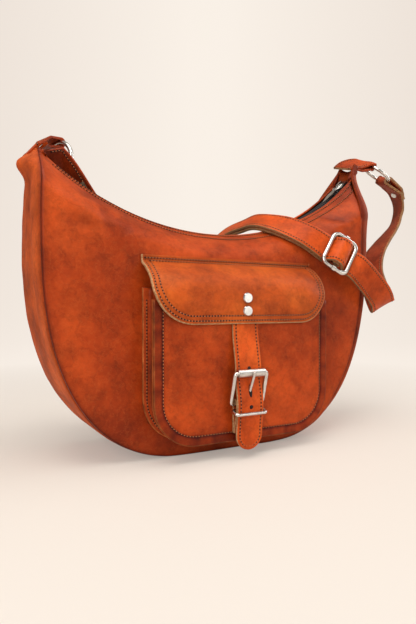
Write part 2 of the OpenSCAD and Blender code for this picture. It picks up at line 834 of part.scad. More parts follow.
// Each row holds a place and the direction of the strap's width there
strap_end_rows = [
    [place([1.627, 0.09, 1.3025]), [-0.40, -0.88, -0.18], 0],
    [place([1.5945, 0.067, 1.3315]), [-0.30, -0.93, -0.20], 0],
    [right_bar + 3 * wrap_r * hang + 1.1 * wrap_r * hang_up, hang_across, 0]
];
strap_drop_rows = [
    [right_bar + 3 * wrap_r * hang - 0.5 * wrap_r * hang_up, hang_across, 0],
    [place([1.582, 0.067, 1.3185]), [-0.30, -0.93, -0.20], 0],
    [place([1.629, 0.11, 1.2675]), [-0.38, -0.90, -0.20], 0],
    [place([1.640, 0.13, 1.215]), [-0.45, -0.87, -0.18], 0],
    [place([1.605, 0.12, 1.150]), [-0.55, -0.80, -0.18], 0],
    [place([1.530, 0.07, 1.085]), [-0.45, -0.88, -0.14], 0],
    [place([1.435, 0.00, 1.020]), [-0.29, -0.95, -0.10], 0],
    [place([1.340, -0.11, 0.955]), [-0.10, -0.99, -0.08], 0],
    [place([1.262, -0.27, 0.890]), [0.10, -0.99, 0.00], 0],
    [place([1.206, -0.46, 0.815]), [0.25, -0.95, 0.15], 0],
    [place([1.180, -0.68, 0.740]), [0.40, -0.82, 0.33], 0],
    [place([1.160, -0.88, 0.680]), [0.62, -0.62, 0.42], 0],
    [place([1.128, -1.08, 0.648]), [0.78, -0.36, 0.50], 0],
    [place([1.080, -1.25, 0.668]), [0.80, -0.22, 0.54], 0],
    [place([1.010, -1.36, 0.715]), [0.77, -0.17, 0.62], 0]
];
hump_rows = [
    [by_adjuster(2 * side_at, -under_side), [0.68, -0.04, 0.72], 0],
    [by_adjuster(side_at, -1.1 * under_side), adjuster_w, 0],
    [by_adjuster(0.78 * side_at, -0.74 * under_side), adjuster_w, 0],
    [by_adjuster(0.516 * side_at, 0.63 * under_side), adjuster_w, 0],
    [by_adjuster(0.22 * side_at, over_bar), adjuster_w, 0],
    [by_adjuster(-0.22 * side_at, over_bar), adjuster_w, 0],
    [by_adjuster(-0.516 * side_at, 0.63 * under_side), adjuster_w, 0],
    [by_adjuster(-0.78 * side_at, -0.74 * under_side), adjuster_w, 0],
    [by_adjuster(-side_at, -1.1 * under_side), adjuster_w, 0]
];
// Both layers leave the left ring along this line
leave = 0.61 * left_in - [0, 0, 0.79];
leave_up = 0.79 * left_in + [0, 0, 0.61];
cross_rows = [
    [by_adjuster(-2 * side_at, -under_side), [0.57, 0.20, 0.79], 0],
    [place([0.504, -0.965, 1.004]), [0.57, 0.33, 0.75], 0],
    [place([0.430, -0.565, 1.051]), [0.56, 0.50, 0.66], 0],
    [place([0.346, -0.085, 1.080]), [0.54, 0.68, 0.50], 0],
    [place([0.302, 0.33, 1.067]), [0.52, 0.77, 0.38], 0],
    [place([0.240, 0.77, 1.029]), [0.45, 0.85, 0.30], 0],
    [place([0.176, 1.23, 0.938]), [0.30, 0.93, 0.15], 0],
    [place([0.092, 1.48, 0.800]), [0.12, 0.99, 0.05], 0],
    [place([-0.055, 1.53, 0.670]), [0.00, 1.00, 0.00], 0],
    [place([-0.255, 1.55, 0.590]), [0.00, 1.00, 0.00], 0],
    [place([-0.400, 1.56, 0.630]), [-0.05, 1.00, 0.00], 0],
    [place([-0.510, 1.56, 0.745]), [-0.10, 0.99, 0.00], 0],
    [place([-0.590, 1.52, 0.890]), [-0.20, 0.98, 0.02], 0],
    [place([-0.655, 1.42, 1.030]), [-0.32, 0.94, 0.03], 0],
    [place([-0.715, 1.22, 1.130]), [-0.40, 0.91, 0.02], 0],
    [left_bar + 3 * wrap_r * leave + 1.1 * wrap_r * leave_up, left_across, -0.3 / ring_r]
];
loop_r = bar_wire / 2 + hug_gap + strap_t / 2;
bar_loop_rows = [
    [by_adjuster(-side_at, -1.1 * under_side - layer_gap), adjuster_w, 0],
    [by_adjuster(-0.45 * side_at, -under_side - layer_gap * 0.8), adjuster_w, 0],
    [by_adjuster(0, -loop_r), adjuster_w, 0],
    [by_adjuster(0.7 * loop_r, -0.7 * loop_r), adjuster_w, 0],
    [by_adjuster(loop_r, 0), adjuster_w, 0],
    [by_adjuster(0.7 * loop_r, 0.7 * loop_r), adjuster_w, 0],
    [by_adjuster(0, loop_r), adjuster_w, 0],
    [by_adjuster(-loop_r * 0.9, loop_r * 0.44), adjuster_w, 0]
];
// Square to the route and to the width at row i
function route_dir(rows, i) =
    let (a = rows[max(0, i - 1)][0], b = rows[min(len(rows) - 1, i + 1)][0])
    (b - a) / norm(b - a);
function row_width(rows, i) =
    let (d = route_dir(rows, i), w = rows[i][1] - (rows[i][1] * d) * d)
    w / norm(w);
function row_under(rows, i) = cross(route_dir(rows, i), row_width(rows, i));
function smooth_rows(rows, steps) = concat(
    [for (i = [0:len(rows) - 2], k = [0:steps - 1])
        let (a = rows[max(0, i - 1)], b = rows[i], c = rows[i + 1], d = rows[min(len(rows) - 1, i + 2)])
        [for (m = [0:2]) catmull(a[m], b[m], c[m], d[m], k / steps)]],
    [rows[len(rows) - 1]]
);
return_rows = [
    for (i = [len(cross_rows) - 1:-1:0])
        [cross_rows[i][0] + layer_gap * row_under(cross_rows, i), cross_rows[i][1], 0]
];
// Cross-sections of the strap: a point and a normal at each step across its width
across_steps = 6;
function straight_section(rows, i, wide) =
    let (p = rows[i][0], w = row_width(rows, i), n = row_under(rows, i), k = rows[i][2] * 180 / PI)
    [for (j = [0:across_steps])
        let (u = wide * (j / across_steps - 0.5))
        abs(k) < 0.1
            ? [p + u * w, n]
            : [p + (sin(u * k) * w + (1 - cos(u * k)) * n) / rows[i][2], cos(u * k) * n - sin(u * k) * w]];
// Section that hugs a ring's wire; the turn runs from the ring's outer side round its wire
hug_share = 0.86;
function ring_section(centre, across, down, axis, turn_deg, sign, wide, wrap) =
    [for (j = [0:across_steps])
        let (
            a = hug_share * wide / ring_r * (j / across_steps - 0.5) * 180 / PI,
            radial = sin(a) * across + cos(a) * down,
            n = cos(turn_deg) * radial + sin(turn_deg) * axis
        )
        [centre + ring_r * radial + wrap * n, sign * n]];
function sections(rows, wide) = [for (i = [0:len(rows) - 1]) straight_section(rows, i, wide)];
right_hug = [
    for (a = [75:30:285])
        ring_section(ring_right_at + ring_r * hang, hang_across, hang, hang_up, a, 1, strap_w, wrap_r)
];
left_hug = [
    for (a = [128:30:308])
        ring_section(ring_left_at - [0, 0, ring_r], left_across, [0, 0, -1], left_in, a, -1, strap_w, wrap_r)
];
strap_steps = 2;
strap_sections = concat(
    sections(smooth_rows(strap_end_rows, strap_steps), strap_w),
    right_hug,
    sections(smooth_rows(concat(strap_drop_rows, hump_rows, cross_rows), strap_steps), strap_w),
    left_hug,
    sections(smooth_rows(concat(return_rows, bar_loop_rows), strap_steps), strap_w)
);
module ribbon(list, t) {
    m = len(list[0]);
    size = 2 * m;
    count = len(list);
    points = [
        for (s = list) each concat(
            [for (q = s) q[0] - t / 2 * q[1]],
            [for (j = [m - 1:-1:0]) s[j][0] + t / 2 * s[j][1]]
        )
    ];
    sides = [
        for (i = [0:count - 2], k = [0:size - 1])
            [size * i + k, size * i + (k + 1) % size, size * (i + 1) + (k + 1) % size, size * (i + 1) + k]
    ];
    end = size * (count - 1);
    caps = [for (j = [0:m - 2]) [j, j + 1, size - 2 - j, size - 1 - j]];
    faces = concat(
        [for (q = sides) [q[2], q[1], q[0]]],
        [for (q = sides) [q[3], q[2], q[0]]],
        [for (q = caps) [q[0], q[1], q[2]]],
        [for (q = caps) [q[0], q[2], q[3]]],
        [for (q = caps) [end + q[2], end + q[1], end + q[0]]],
        [for (q = caps) [end + q[3], end + q[2], end + q[0]]]
    );
    polyhedron(points = points, faces = faces);
}
module shoulder_strap() {
    color(leather_light)
        ribbon(strap_sections, strap_t);
}

// Ring tabs: a lower layer from the horn, the turn through the ring, and the upper layer back
right_tab_low = [
    [place([1.122, 0, 1.4275]), [0, -1, 0], 0],
    [place([1.171, 0, 1.4355]), [-0.05, -0.98, -0.18], 0],
    [place([1.225, 0, 1.4405]), [-0.14, -0.94, -0.30], 0]
];
right_tab_high = [
    [place([1.252, 0, 1.4745]), [-0.17, -0.93, -0.33], 0],
    [place([1.218, 0, 1.4665]), [-0.13, -0.94, -0.29], 0],
    [place([1.180, 0, 1.4565]), [-0.07, -0.97, -0.21], 0]
];
right_tab_hug = [
    for (a = [285:-30:75])
        ring_section(ring_right_at + ring_r * hang, hang_across, -hang, hang_up, a, 1, tab_w, tab_wrap)
];
left_tab_low = [
    [place([-0.970, 0.09, 1.3030]), [0.80, -0.60, 0], 0],
    [place([-0.933, 0.40, 1.3400]), [0.75, -0.66, 0], 0],
    [place([-0.875, 0.69, 1.3650]), [0.55, -0.83, 0], 0]
];
left_tab_high = [
    [place([-0.872, 0.71, 1.4040]), [0.55, -0.83, 0], 0],
    [place([-0.933, 0.40, 1.3780]), [0.75, -0.66, 0], 0],
    [place([-0.980, 0.12, 1.3400]), [0.80, -0.60, 0], 0],
    [place([-1.006, -0.10, 1.3030]), [0.82, -0.57, 0], 0]
];
left_tab_hug = [
    for (a = [190:-25:-10])
        ring_section(ring_left_at - [0, 0, ring_r], -left_across, [0, 0, 1], left_in, a, 1, tab_w, tab_wrap)
];
module ring_tab(low, hug, high) {
    color(leather)
        ribbon(concat(
            sections(smooth_rows(low, smooth_steps), tab_w),
            hug,
            sections(smooth_rows(high, smooth_steps), tab_w)
        ), tab_t);
}
module ring_tab_right() {
    ring_tab(right_tab_low, right_tab_hug, right_tab_high);
}
module ring_tab_left() {
    ring_tab(left_tab_low, left_tab_hug, left_tab_high);
}

// Rivet that closes the strap round the right ring
strap_cap_share = 0.85;
rivet_row = [
    (strap_end_rows[1][0] + strap_drop_rows[1][0]) / 2,
    (strap_end_rows[1][0] - strap_drop_rows[1][0])
];
module strap_rivet() {
    dir = rivet_row[1] / norm(rivet_row[1]);
    tilt = acos(dir.z);
    heading = atan2(dir.y, dir.x);
    between = norm(rivet_row[1]) + strap_t + 2 * fit_gap;
    color(metal)
        translate(rivet_row[0])
        rotate([0, 0, heading])
        rotate([0, tilt, 0])
        for (s = [0, 1])
            mirror([0, 0, s])
            translate([0, 0, between / 2])
            cylinder(d1 = strap_cap_share * rivet_d, d2 = cap_top_share * strap_cap_share * rivet_d, h = cap_t);
}

// Adjuster: a wire frame with a centre bar whose ends are rolled round its sides
module in_adjuster() {
    multmatrix([
        [adjuster_w.x, adjuster_n.x, adjuster_t.x, adjuster_at.x],
        [adjuster_w.y, adjuster_n.y, adjuster_t.y, adjuster_at.y],
        [adjuster_w.z, adjuster_n.z, adjuster_t.z, adjuster_at.z],
        [0, 0, 0, 1]
    ])
        children();
}
adjuster_corner = 6;
module adjuster_frame() {
    color(metal)
        in_adjuster()
        translate([0, 0, -side_at])
        wire_loop(adjuster_wire, adjuster_in_w, 2 * side_at, adjuster_corner);
}
eye_t = 1.2;
eye_h = 1.25 * bar_wire;
module adjuster_bar() {
    half = adjuster_in_w / 2 + adjuster_wire / 2;
    eye_in = adjuster_wire / 2 + pin_gap;
    color(metal)
        in_adjuster() {
            rotate([0, 90, 0])
                cylinder(d = bar_wire, h = 2 * (half - eye_in - eye_t / 2), center = true);
            for (s = [-1, 1])
                translate([s * half, 0, 0])
                difference() {
                    cylinder(r = eye_in + eye_t, h = eye_h, center = true);
                    cylinder(r = eye_in, h = eye_h + overrun, center = true);
                }
        }
}

front_panel();
back_panel();
gusset();
lining_front();
lining_back();
lining_gusset();
zip_tape_front();
zip_tape_back();
zip_chain();
zip_stops();
zip_slider();
zip_link();
zip_puller();
pocket_front();
pocket_gusset();
flap_edge();
pocket_flap();
flap_rivets();
closure_strap();
buckle_chape();
buckle_frame();
buckle_roller();
buckle_tongue();
strap_keeper();
ring_tab_left();
ring_tab_right();
ring_left();
ring_right();
shoulder_strap();
strap_rivet();
adjuster_frame();
adjuster_bar();
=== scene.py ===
# %% [markdown]
# # Half moon leather bag
# This script dresses the construction model of a half moon shoulder bag: two leather panels and
# a gusset, a zip along the sagging mouth, a box pocket with flap and roller buckle, and one long
# shoulder strap through two rings. The soft leather pieces are rebuilt here with folds, rounded
# lips and stitches. The metal pieces keep their exact shapes and get their finish.

# %% Frame of bodies and nodes
import math

import bmesh
import bpy
import numpy as np
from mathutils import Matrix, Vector, noise


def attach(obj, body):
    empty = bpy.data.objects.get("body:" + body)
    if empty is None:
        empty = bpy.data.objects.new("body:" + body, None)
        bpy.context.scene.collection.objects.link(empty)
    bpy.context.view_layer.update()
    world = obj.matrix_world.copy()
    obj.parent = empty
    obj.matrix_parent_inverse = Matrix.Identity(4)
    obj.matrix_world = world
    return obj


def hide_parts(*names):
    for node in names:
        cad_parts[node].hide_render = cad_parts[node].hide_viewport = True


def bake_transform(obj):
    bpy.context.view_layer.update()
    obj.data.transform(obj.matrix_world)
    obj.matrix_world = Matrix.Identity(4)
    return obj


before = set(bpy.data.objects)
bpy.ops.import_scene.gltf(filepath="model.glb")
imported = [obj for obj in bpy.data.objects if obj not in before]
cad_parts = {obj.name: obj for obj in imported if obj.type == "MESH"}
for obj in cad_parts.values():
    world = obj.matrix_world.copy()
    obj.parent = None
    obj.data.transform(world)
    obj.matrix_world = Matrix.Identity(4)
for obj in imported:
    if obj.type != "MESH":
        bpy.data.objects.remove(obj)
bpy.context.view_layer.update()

# %% [markdown]
# ## Measures
# All lengths are in millimetres and become metres when a mesh is made. The outline, the sagging
# mouth and the way both panels lean together repeat the construction model's own rules, so that
# each leather piece lies where its plain solid lies.

# %% Measures of the bag
MM = 0.001
HALF_W, HALF_D, BASE_HALF, SHOULDER_Z = 164.0, 45.0, 45.0, 200.0
MOUTH_Z, MOUTH_R, HALF_GAP, LEAN = 198.0, 250.0, 13.0, 30.0
ARC_TOP = MOUTH_Z + MOUTH_R
BACK_LIFT, LIFT_FROM, LIFT_TO = 31.0, 0.52, 0.82
LEATHER = 2.5
SEAM = 0.2
SIDE_STEPS, RISE_STEPS = 14, 6
LEFT_TIP, RIGHT_TIP = 0.976, 1.134
LIP_END = 0.975


def ease(t):
    t = np.clip(t, 0, 1)
    return t * t * (3 - 2 * t)


def mouth_at(x):
    return ARC_TOP - np.sqrt(MOUTH_R**2 - x * x)


def lift_share(x):
    return ease((-x / HALF_W - LIFT_FROM) / (LIFT_TO - LIFT_FROM))


def back_mouth_at(x):
    peak = -HALF_W * LIFT_TO
    fall = mouth_at(peak) + BACK_LIFT - 0.35 * (peak - x)
    return np.where(x > peak, mouth_at(x) + BACK_LIFT * lift_share(x), fall)


def lean_out(below, over):
    return HALF_GAP + (HALF_D - HALF_GAP) * np.sin(math.pi / 2 * np.clip(below / over, 0, 1))


def depth_at(side, x, z):
    if side < 0:
        return lean_out(np.hypot(x, ARC_TOP - z) - MOUTH_R, LEAN)
    low_z = z + mouth_at(x) - back_mouth_at(x)
    return lean_out(np.hypot(x, ARC_TOP - low_z) - MOUTH_R, LEAN * (1 + 1.7 * lift_share(x)))


def bell(x, at, width):
    """1 at a place, falling away over a width to both sides."""
    return np.exp(-((x - at) / width)**2)


def columns(*parts):
    """Numbers and arrays side by side along a new last axis."""
    return np.stack(np.broadcast_arrays(*parts), -1)


def unit(v):
    v = np.asarray(v, float)
    return v / np.maximum(np.linalg.norm(v, axis=-1, keepdims=True), 1e-9)


def catmull(a, b, c, d, t):
    return 0.5 * (2 * b + (c - a) * t + (2 * a - 5 * b + 4 * c - d) * t * t
                  + (3 * b - a - 3 * c + d) * t**3)


def smooth(points, steps):
    """A smooth curve through all the given points."""
    p = np.asarray(points, float)
    out = []
    for i in range(len(p) - 1):
        a, b, c, d = p[max(0, i - 1)], p[i], p[i + 1], p[min(len(p) - 1, i + 2)]
        out += [catmull(a, b, c, d, k / steps) for k in range(steps)]
    return np.array(out + [p[-1]])


def half_outline(tip_share, bend_share):
    points = [(BASE_HALF, 0.0)]
    for i in range(1, SIDE_STEPS + 1):
        t = math.pi / 2 * math.sin(math.pi / 2 * i / SIDE_STEPS)
        x = BASE_HALF + (HALF_W - BASE_HALF) * math.sin(t)**0.91
        points.append((x, SHOULDER_Z * (1 - max(0.0, math.cos(t))**0.715)))
    tip = (HALF_W * tip_share, float(mouth_at(HALF_W * tip_share)) + LEATHER)
    for i in range(1, RISE_STEPS + 1):
        t = i / RISE_STEPS
        a, b, c = (1 - t)**2, 2 * t * (1 - t), t * t
        points.append((a * HALF_W + b * HALF_W + c * tip[0],
                       a * SHOULDER_Z + b * SHOULDER_Z * bend_share + c * tip[1]))
    return points


coarse = [(-x, z) for x, z in reversed(half_outline(LEFT_TIP, 1.15))]
coarse += [(BASE_HALF * 0.45, 0.0)] + half_outline(RIGHT_TIP, 1.225)
OUTLINE = smooth(coarse, 5)
COLUMNS = len(OUTLINE)
ALONG = np.linspace(0, 1, COLUMNS)
step = np.gradient(OUTLINE, axis=0)
OUTWARD = unit(columns(step[:, 1], -step[:, 0]))
print("outline:", COLUMNS, "columns from horn to horn")

# %% [markdown]
# ## Helpers
# One function turns rows of points into a piece that rides on a body. Another closes a tube of
# leather through its sections. A third adds the short stubs that stitches, holes and teeth are.
# Curves with a bevel or geometry nodes could make them too. Plain points were chosen, because every
# fold and lip is then a formula in millimetres that can be read and changed.

# %% Mesh helpers
WELD_M = 0.00002


def srgb(code):
    """A hex colour as linear red, green, blue and alpha."""
    parts = [int(code[i:i + 2], 16) / 255 for i in (1, 3, 5)]
    return [c / 12.92 if c <= 0.04045 else ((c + 0.055) / 1.055)**2.4 for c in parts] + [1.0]


def in_scene(name, data):
    obj = bpy.data.objects.new(name, data)
    bpy.context.scene.collection.objects.link(obj)
    return obj


def outward_faces(mesh, weld=False):
    """Turns all faces outward, and welds a mesh first where its points fall together."""
    work = bmesh.new()
    work.from_mesh(mesh)
    if weld:
        bmesh.ops.remove_doubles(work, verts=work.verts, dist=WELD_M)
        bmesh.ops.dissolve_degenerate(work, edges=work.edges, dist=WELD_M / 2)
    bmesh.ops.recalc_face_normals(work, faces=work.faces)
    work.to_mesh(mesh)
    work.free()


def make_piece(name, points, faces, materials, body, nodes=(), faces_of=None, shade=None):
    """A closed, smooth mesh that rides on a body and stands for the given nodes."""
    mesh = bpy.data.meshes.new(name)
    mesh.from_pydata((np.asarray(points) * MM).tolist(), [], [list(f) for f in faces])
    for material in materials:
        mesh.materials.append(material)
    if faces_of is not None:
        mesh.polygons.foreach_set("material_index", list(faces_of))
    mesh.polygons.foreach_set("use_smooth", [True] * len(mesh.polygons))
    # the stored shade is painted shade in seams, grooves, creases and folds, and real wear on the pocket
    # rim
    if shade is not None:
        layer = mesh.attributes.new("shade", "FLOAT", "POINT")
        layer.data.foreach_set("value", np.asarray(shade, np.float32).ravel())
    outward_faces(mesh)
    obj = in_scene(name, mesh)
    if nodes:
        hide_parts(*nodes)
    if body:
        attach(obj, body)
    return obj


# %% Tubes and stubs
def loop_faces(count, size, caps):
    """Faces round closed sections, with the ends capped."""
    i, k = np.meshgrid(np.arange(count - 1), np.arange(size), indexing="ij")
    n = (k + 1) % size
    faces = np.stack([size * i + k, size * i + n, size * (i + 1) + n, size * (i + 1) + k], -1)
    ends = []
    for base in (0, size * (count - 1)):
        if caps == "ngon":
            ends.append([base + k for k in range(size)])
        else:
            ends += [[base + j, base + j + 1, base + size - 2 - j, base + size - 1 - j]
                     for j in range(size // 2 - 1)]
    return faces.reshape(-1, 4).tolist() + ends


def tube(name, sections, materials, body, nodes, band=None, cap=0, shade=None, caps="ngon"):
    """A piece through closed sections; band is the material round a section, cap that of the ends."""
    sections = np.asarray(sections)
    count, size = sections.shape[:2]
    faces = loop_faces(count, size, caps)
    which = None
    if band is not None:
        which = list(band) * (count - 1)
        which += [cap] * (len(faces) - len(which))
    return make_piece(name, sections.reshape(-1, 3), faces, materials, body, nodes, which, shade)


def skin(name, lines, materials, node, band=None, tones=None, caps="strip"):
    """A tube of the bag given by the lines that run along it, with a shade for each."""
    if tones is not None:
        tones = np.swapaxes(np.concatenate(tones), 0, 1)
    return tube(name, np.swapaxes(np.concatenate(lines), 0, 1), materials, "bag", [node], band,
                0, tones, caps)


def add_stub(points, faces, rings):
    """Adds a short closed stub through rings of points to a growing mesh."""
    base = len(points)
    for ring in rings:
        points += list(ring)
    faces += [[base + i for i in face] for face in loop_faces(len(rings), len(rings[0]), "ngon")]


# %% Normals and even steps
def grid_normals(grid):
    """Normals of a grid of points with rows along axis 0 and columns along axis 1."""
    return unit(np.cross(np.gradient(grid, axis=0), np.gradient(grid, axis=1)))


def resample(path, normals, pitch):
    """Points and normals at an even pitch along a path."""
    path, normals = np.asarray(path, float), np.asarray(normals, float)
    gone = np.concatenate([[0], np.cumsum(np.linalg.norm(np.diff(path, axis=0), axis=1))])
    at = np.linspace(0, gone[-1], max(2, int(round(gone[-1] / pitch)) + 1))
    out, nor = (columns(*[np.interp(at, gone, row) for row in rows.T]) for rows in (path, normals))
    return out, unit(nor)


# %% [markdown]
# ## Leather and metal finishes
# Vegetable tanned leather is rubbed with oil: it mottles over a hand's width, has small darker
# scuffs, fine pores, and is light where it is worn. Painted shade darkens its seams, grooves,
# creases and fine wrinkles. The cut edges are raw, paler and dull. The hardware is nickel plated
# steel.

# %% Node helpers
def add(tree, kind, values=None, **settings):
    """A shader node with its settings; a value that is a socket is linked, any other is set."""
    made = tree.nodes.new("ShaderNode" + kind)
    for key, value in settings.items():
        setattr(made, key, value)
    for key, value in (values or {}).items():
        if isinstance(value, bpy.types.NodeSocket):
            tree.links.new(value, made.inputs[key])
        else:
            made.inputs[key].default_value = value
    return made


def grey(level):
    return [level, level, level, 1.0]


def seen_directly(tree):
    """1 for what the camera sees itself, also through clear things, and 0 for what lights the bag."""
    path = add(tree, "LightPath").outputs
    return add(tree, "Math", {0: path["Is Camera Ray"], 1: path["Is Transmission Ray"]},
               operation="MAXIMUM").outputs[0]


# %% Finish in the making
class Finish:
    """A material in the making: noises in millimetres, layers of colour, bumps, one surface."""

    def __init__(self, name):
        self.material = bpy.data.materials.new(name)
        self.material.use_nodes = True
        self.tree = self.material.node_tree
        self.tree.nodes.clear()
        self.place = self.add("TexCoord").outputs["Object"]

    def add(self, kind, values=None, **settings):
        return add(self.tree, kind, values, **settings)

    def noise(self, size_mm, detail=3.0, rough=0.55):
        return self.add("TexNoise", {"Vector": self.place, "Scale": 1000 / size_mm,
                                     "Detail": detail, "Roughness": rough}).outputs[0]

    def threads(self, pitch_mm, way, distortion, detail, waves=1000):
        return self.add("TexWave", {"Vector": self.place, "Scale": waves / pitch_mm,
                                    "Distortion": distortion, "Detail": detail},
                        bands_direction=way).outputs[0]

    def calc(self, operation, *values):
        return self.add("Math", dict(enumerate(values)), operation=operation).outputs[0]

    def veins(self, size_mm, detail, rough):
        """Near 0 along thin winding lines, larger away from them."""
        return self.calc("ABSOLUTE", self.calc("SUBTRACT", self.noise(size_mm, detail, rough), 0.5))

    def spread(self, value, *limits):
        """A value taken from its first two limits to the last two."""
        return self.add("MapRange", dict(enumerate((value,) + limits))).outputs[0]

    def ramp(self, value, stops):
        made = self.add("ValToRGB", {0: value})
        band = made.color_ramp
        while len(band.elements) < len(stops):
            band.elements.new(0.5)
        for element, (at, colour) in zip(band.elements, stops):
            element.position = at
            element.color = colour
        return made.outputs[0]

    def mix(self, share, first, second, mode="MIX"):
        return self.add("Mix", {0: share, 6: first, 7: second}, data_type="RGBA",
                        blend_type=mode).outputs[2]

    def darkened(self, colour, share, value, low, high, level):
        """The colour, darkened to a level where the value is low and left alone where it is high."""
        tone = self.ramp(value, [(low, grey(level)), (high, grey(1.0))])
        return self.mix(share, colour, tone, "MULTIPLY")

    def bump(self, height, strength, deep, under=None):
        values = {"Height": height, "Strength": strength, "Distance": deep}
        if under:
            values["Normal"] = under
        return self.add("Bump", values).outputs[0]

    def surface(self, values, kind="BsdfPrincipled"):
        self.add("OutputMaterial", {0: self.add(kind, values).outputs[0]})
        return self.material


# %% [markdown]
# ## The finishes of this bag
# Each finish is a stack of noises of real size. Painted image maps could copy one bag more closely,
# but they stretch over seams and fit one shape only. Noise in the object's own space runs on across
# every piece at one scale. Painted shade in seams, grooves and folds, and the pocket rim's wear, are
# told by the shade stored on each point.

# %% Finishes
SCRATCH_TONE, SHADE_AND_WEAR_TONE = srgb("#d87a40"), srgb("#7a4630")
PORES_PER_M, OILED = 620.0, 0.15


def leather_finish(name, light, middle, dark, sheen_rough=0.42, mottle_mm=85, grain=1.0):
    """Oiled leather: wide mottling, scuffs, painted shade in wrinkles, scratches, pores, and the stored
    painted shade and wear.
    """
    f = Finish(name)
    colour = f.ramp(f.noise(mottle_mm, 4.0, 0.6),
                    [(0.3, srgb(dark)), (0.5, srgb(middle)), (0.72, srgb(light))])
    # scuffs and specks, then painted shade along thin winding wrinkles, each by its size in millimetres
    colour = f.darkened(colour, 0.6, f.noise(18, 7.0, 0.66), 0.36, 0.56, 0.52)
    colour = f.darkened(colour, 0.5, f.noise(3.2, 3.0, 0.6), 0.3, 0.55, 0.7)
    colour = f.darkened(colour, 0.55, f.veins(24, 5.0, 0.55), 0.0, 0.022, 0.7)
    scratch = f.ramp(f.veins(6, 6.0, 0.6), [(0.0, grey(0.12)), (0.02, grey(0.0))])
    colour = f.mix(scratch, colour, SCRATCH_TONE)
    # painted shade and the pocket rim's wear, stored on each point, pull the colour towards the shade
    # and wear tone
    seam = f.add("Attribute", attribute_name="shade").outputs["Fac"]
    colour = f.mix(seam, colour, f.mix(1.0, colour, SHADE_AND_WEAR_TONE, "MULTIPLY"))
    pores = f.add("TexVoronoi", {"Vector": f.place, "Scale": PORES_PER_M},
                  feature="DISTANCE_TO_EDGE").outputs[0]
    fine = f.bump(pores, 0.10 * grain, 0.0009)
    return f.surface({
        "Base Color": colour, "Specular IOR Level": OILED,
        "Roughness": f.spread(f.noise(22, 3.0), 0.0, 1.0, sheen_rough - 0.07, sheen_rough + 0.14),
        "Normal": f.bump(f.noise(6, 5.0, 0.6), 0.16 * grain, 0.0016, fine)})


def raw_edge_finish(name, light, dark):
    """Cut leather edge: pale fibres in thin layers."""
    f = Finish(name)
    fibre = f.noise(1.6, 5.0, 0.7)
    colour = f.ramp(fibre, [(0.35, srgb(dark)), (0.62, srgb(light))])
    return f.surface({"Base Color": f.darkened(colour, 0.8, f.noise(30, 3.0), 0.35, 0.65, 0.72),
                      "Roughness": 0.8, "Normal": f.bump(fibre, 0.3, 0.0006)})


def nickel_finish(name, rough, brush_mm=None):
    """Plated steel: bright, with faint wear, or brushed round the roller."""
    f = Finish(name)
    smear = f.noise(7, 4.0)
    values = {"Base Color": f.ramp(smear, [(0.3, srgb("#c3c1bd")), (0.7, srgb("#e2e0dc"))]),
              "Metallic": 1.0, "Roughness": f.spread(smear, 0.0, 1.0, rough, rough + 0.12)}
    if brush_mm:
        values["Normal"] = f.bump(f.threads(brush_mm, "X", 6.0, 3.0), 0.25, 0.0003)
    return f.surface(values)


def woven_finish(name, light, dark, pitch_mm, rough=0.85):
    """Woven cloth: crossing threads at a real pitch."""
    f = Finish(name)
    cloth = f.mix(0.5, *[f.threads(pitch_mm, way, 0.6, 1.0, 314) for way in ("X", "Z")])
    return f.surface({"Base Color": f.ramp(cloth, [(0.2, srgb(dark)), (0.8, srgb(light))]),
                      "Roughness": rough, "Normal": f.bump(cloth, 0.4, 0.0003)})


def flecked_finish(name, code, rough):
    """Twisted thread, the painted shade of a needle hole, or moulded plastic."""
    f = Finish(name)
    return f.surface({"Base Color": f.darkened(srgb(code), 1.0, f.noise(1.2, 2.0), 0.3, 0.7, 0.7),
                      "Roughness": rough})


panel_leather = leather_finish("panel_leather", "#d0551e", "#aa3d0f", "#7c2607")
pocket_leather = leather_finish("pocket_leather", "#ce521a", "#b0400f", "#7e2907", 0.46, 60)
flap_leather = leather_finish("flap_leather", "#d2651f", "#bc5016", "#94380c", 0.44, 55)
gusset_leather = leather_finish("gusset_leather", "#e26a2a", "#c65520", "#963a12", 0.6, 70)
strap_leather = leather_finish("strap_leather", "#e2631f", "#cd4f14", "#9e370a", 0.42, 60, 0.7)
flesh_side = leather_finish("strap_flesh_side", "#b4512c", "#9c4022", "#7e3018", 0.5, 30, 1.4)
raw_edge = raw_edge_finish("raw_leather_edge", "#c79a6b", "#8a5a36")
worn_rim = leather_finish("worn_rim_leather", "#d98048", "#b5622f", "#7d3f1e", 0.6, 14, 1.6)
dark_edge = raw_edge_finish("worn_leather_edge", "#a87c50", "#6d4a2e")
nickel = nickel_finish("nickel_plate", 0.15)
brushed = nickel_finish("brushed_nickel", 0.24, 0.8)
tape_cloth = woven_finish("zip_tape_cloth", "#26282b", "#101114", 0.7)
tooth_plastic = flecked_finish("zip_tooth_plastic", "#1b1c1e", 0.4)
lining_cloth = woven_finish("lining_cloth", "#6d5a46", "#4c3d2e", 0.8)
thread = flecked_finish("stitch_thread", "#bd7545", 0.6)
needle_hole_shade = flecked_finish("needle_hole_shade", "#1c0a05", 0.9)
print("finishes:", len(bpy.data.materials))

# %% [markdown]
# ## Sewing
# The bag is sewn with a thick thread at about nine stitches per inch. Each stitch is a small
# arch between two needle holes that pull the leather in. A bump map could draw them, but real
# arches catch the light and stay right when a strap bends.

# %% Sewing
STITCH_PITCH, STRAP_PITCH, THREAD_R, HOLE_R = 2.75, 2.9, 0.3, 0.9
# share of the way between two holes, and height, of a thread's rings; height and size of a hole's
ARCH = ((0.16, -0.25), (0.34, 0.12), (0.66, 0.12), (0.84, -0.25))
HOLE = ((-0.4, 0.7), (0.18, 1.0))


def circle(count):
    return [2 * math.pi * k / count for k in range(count)]


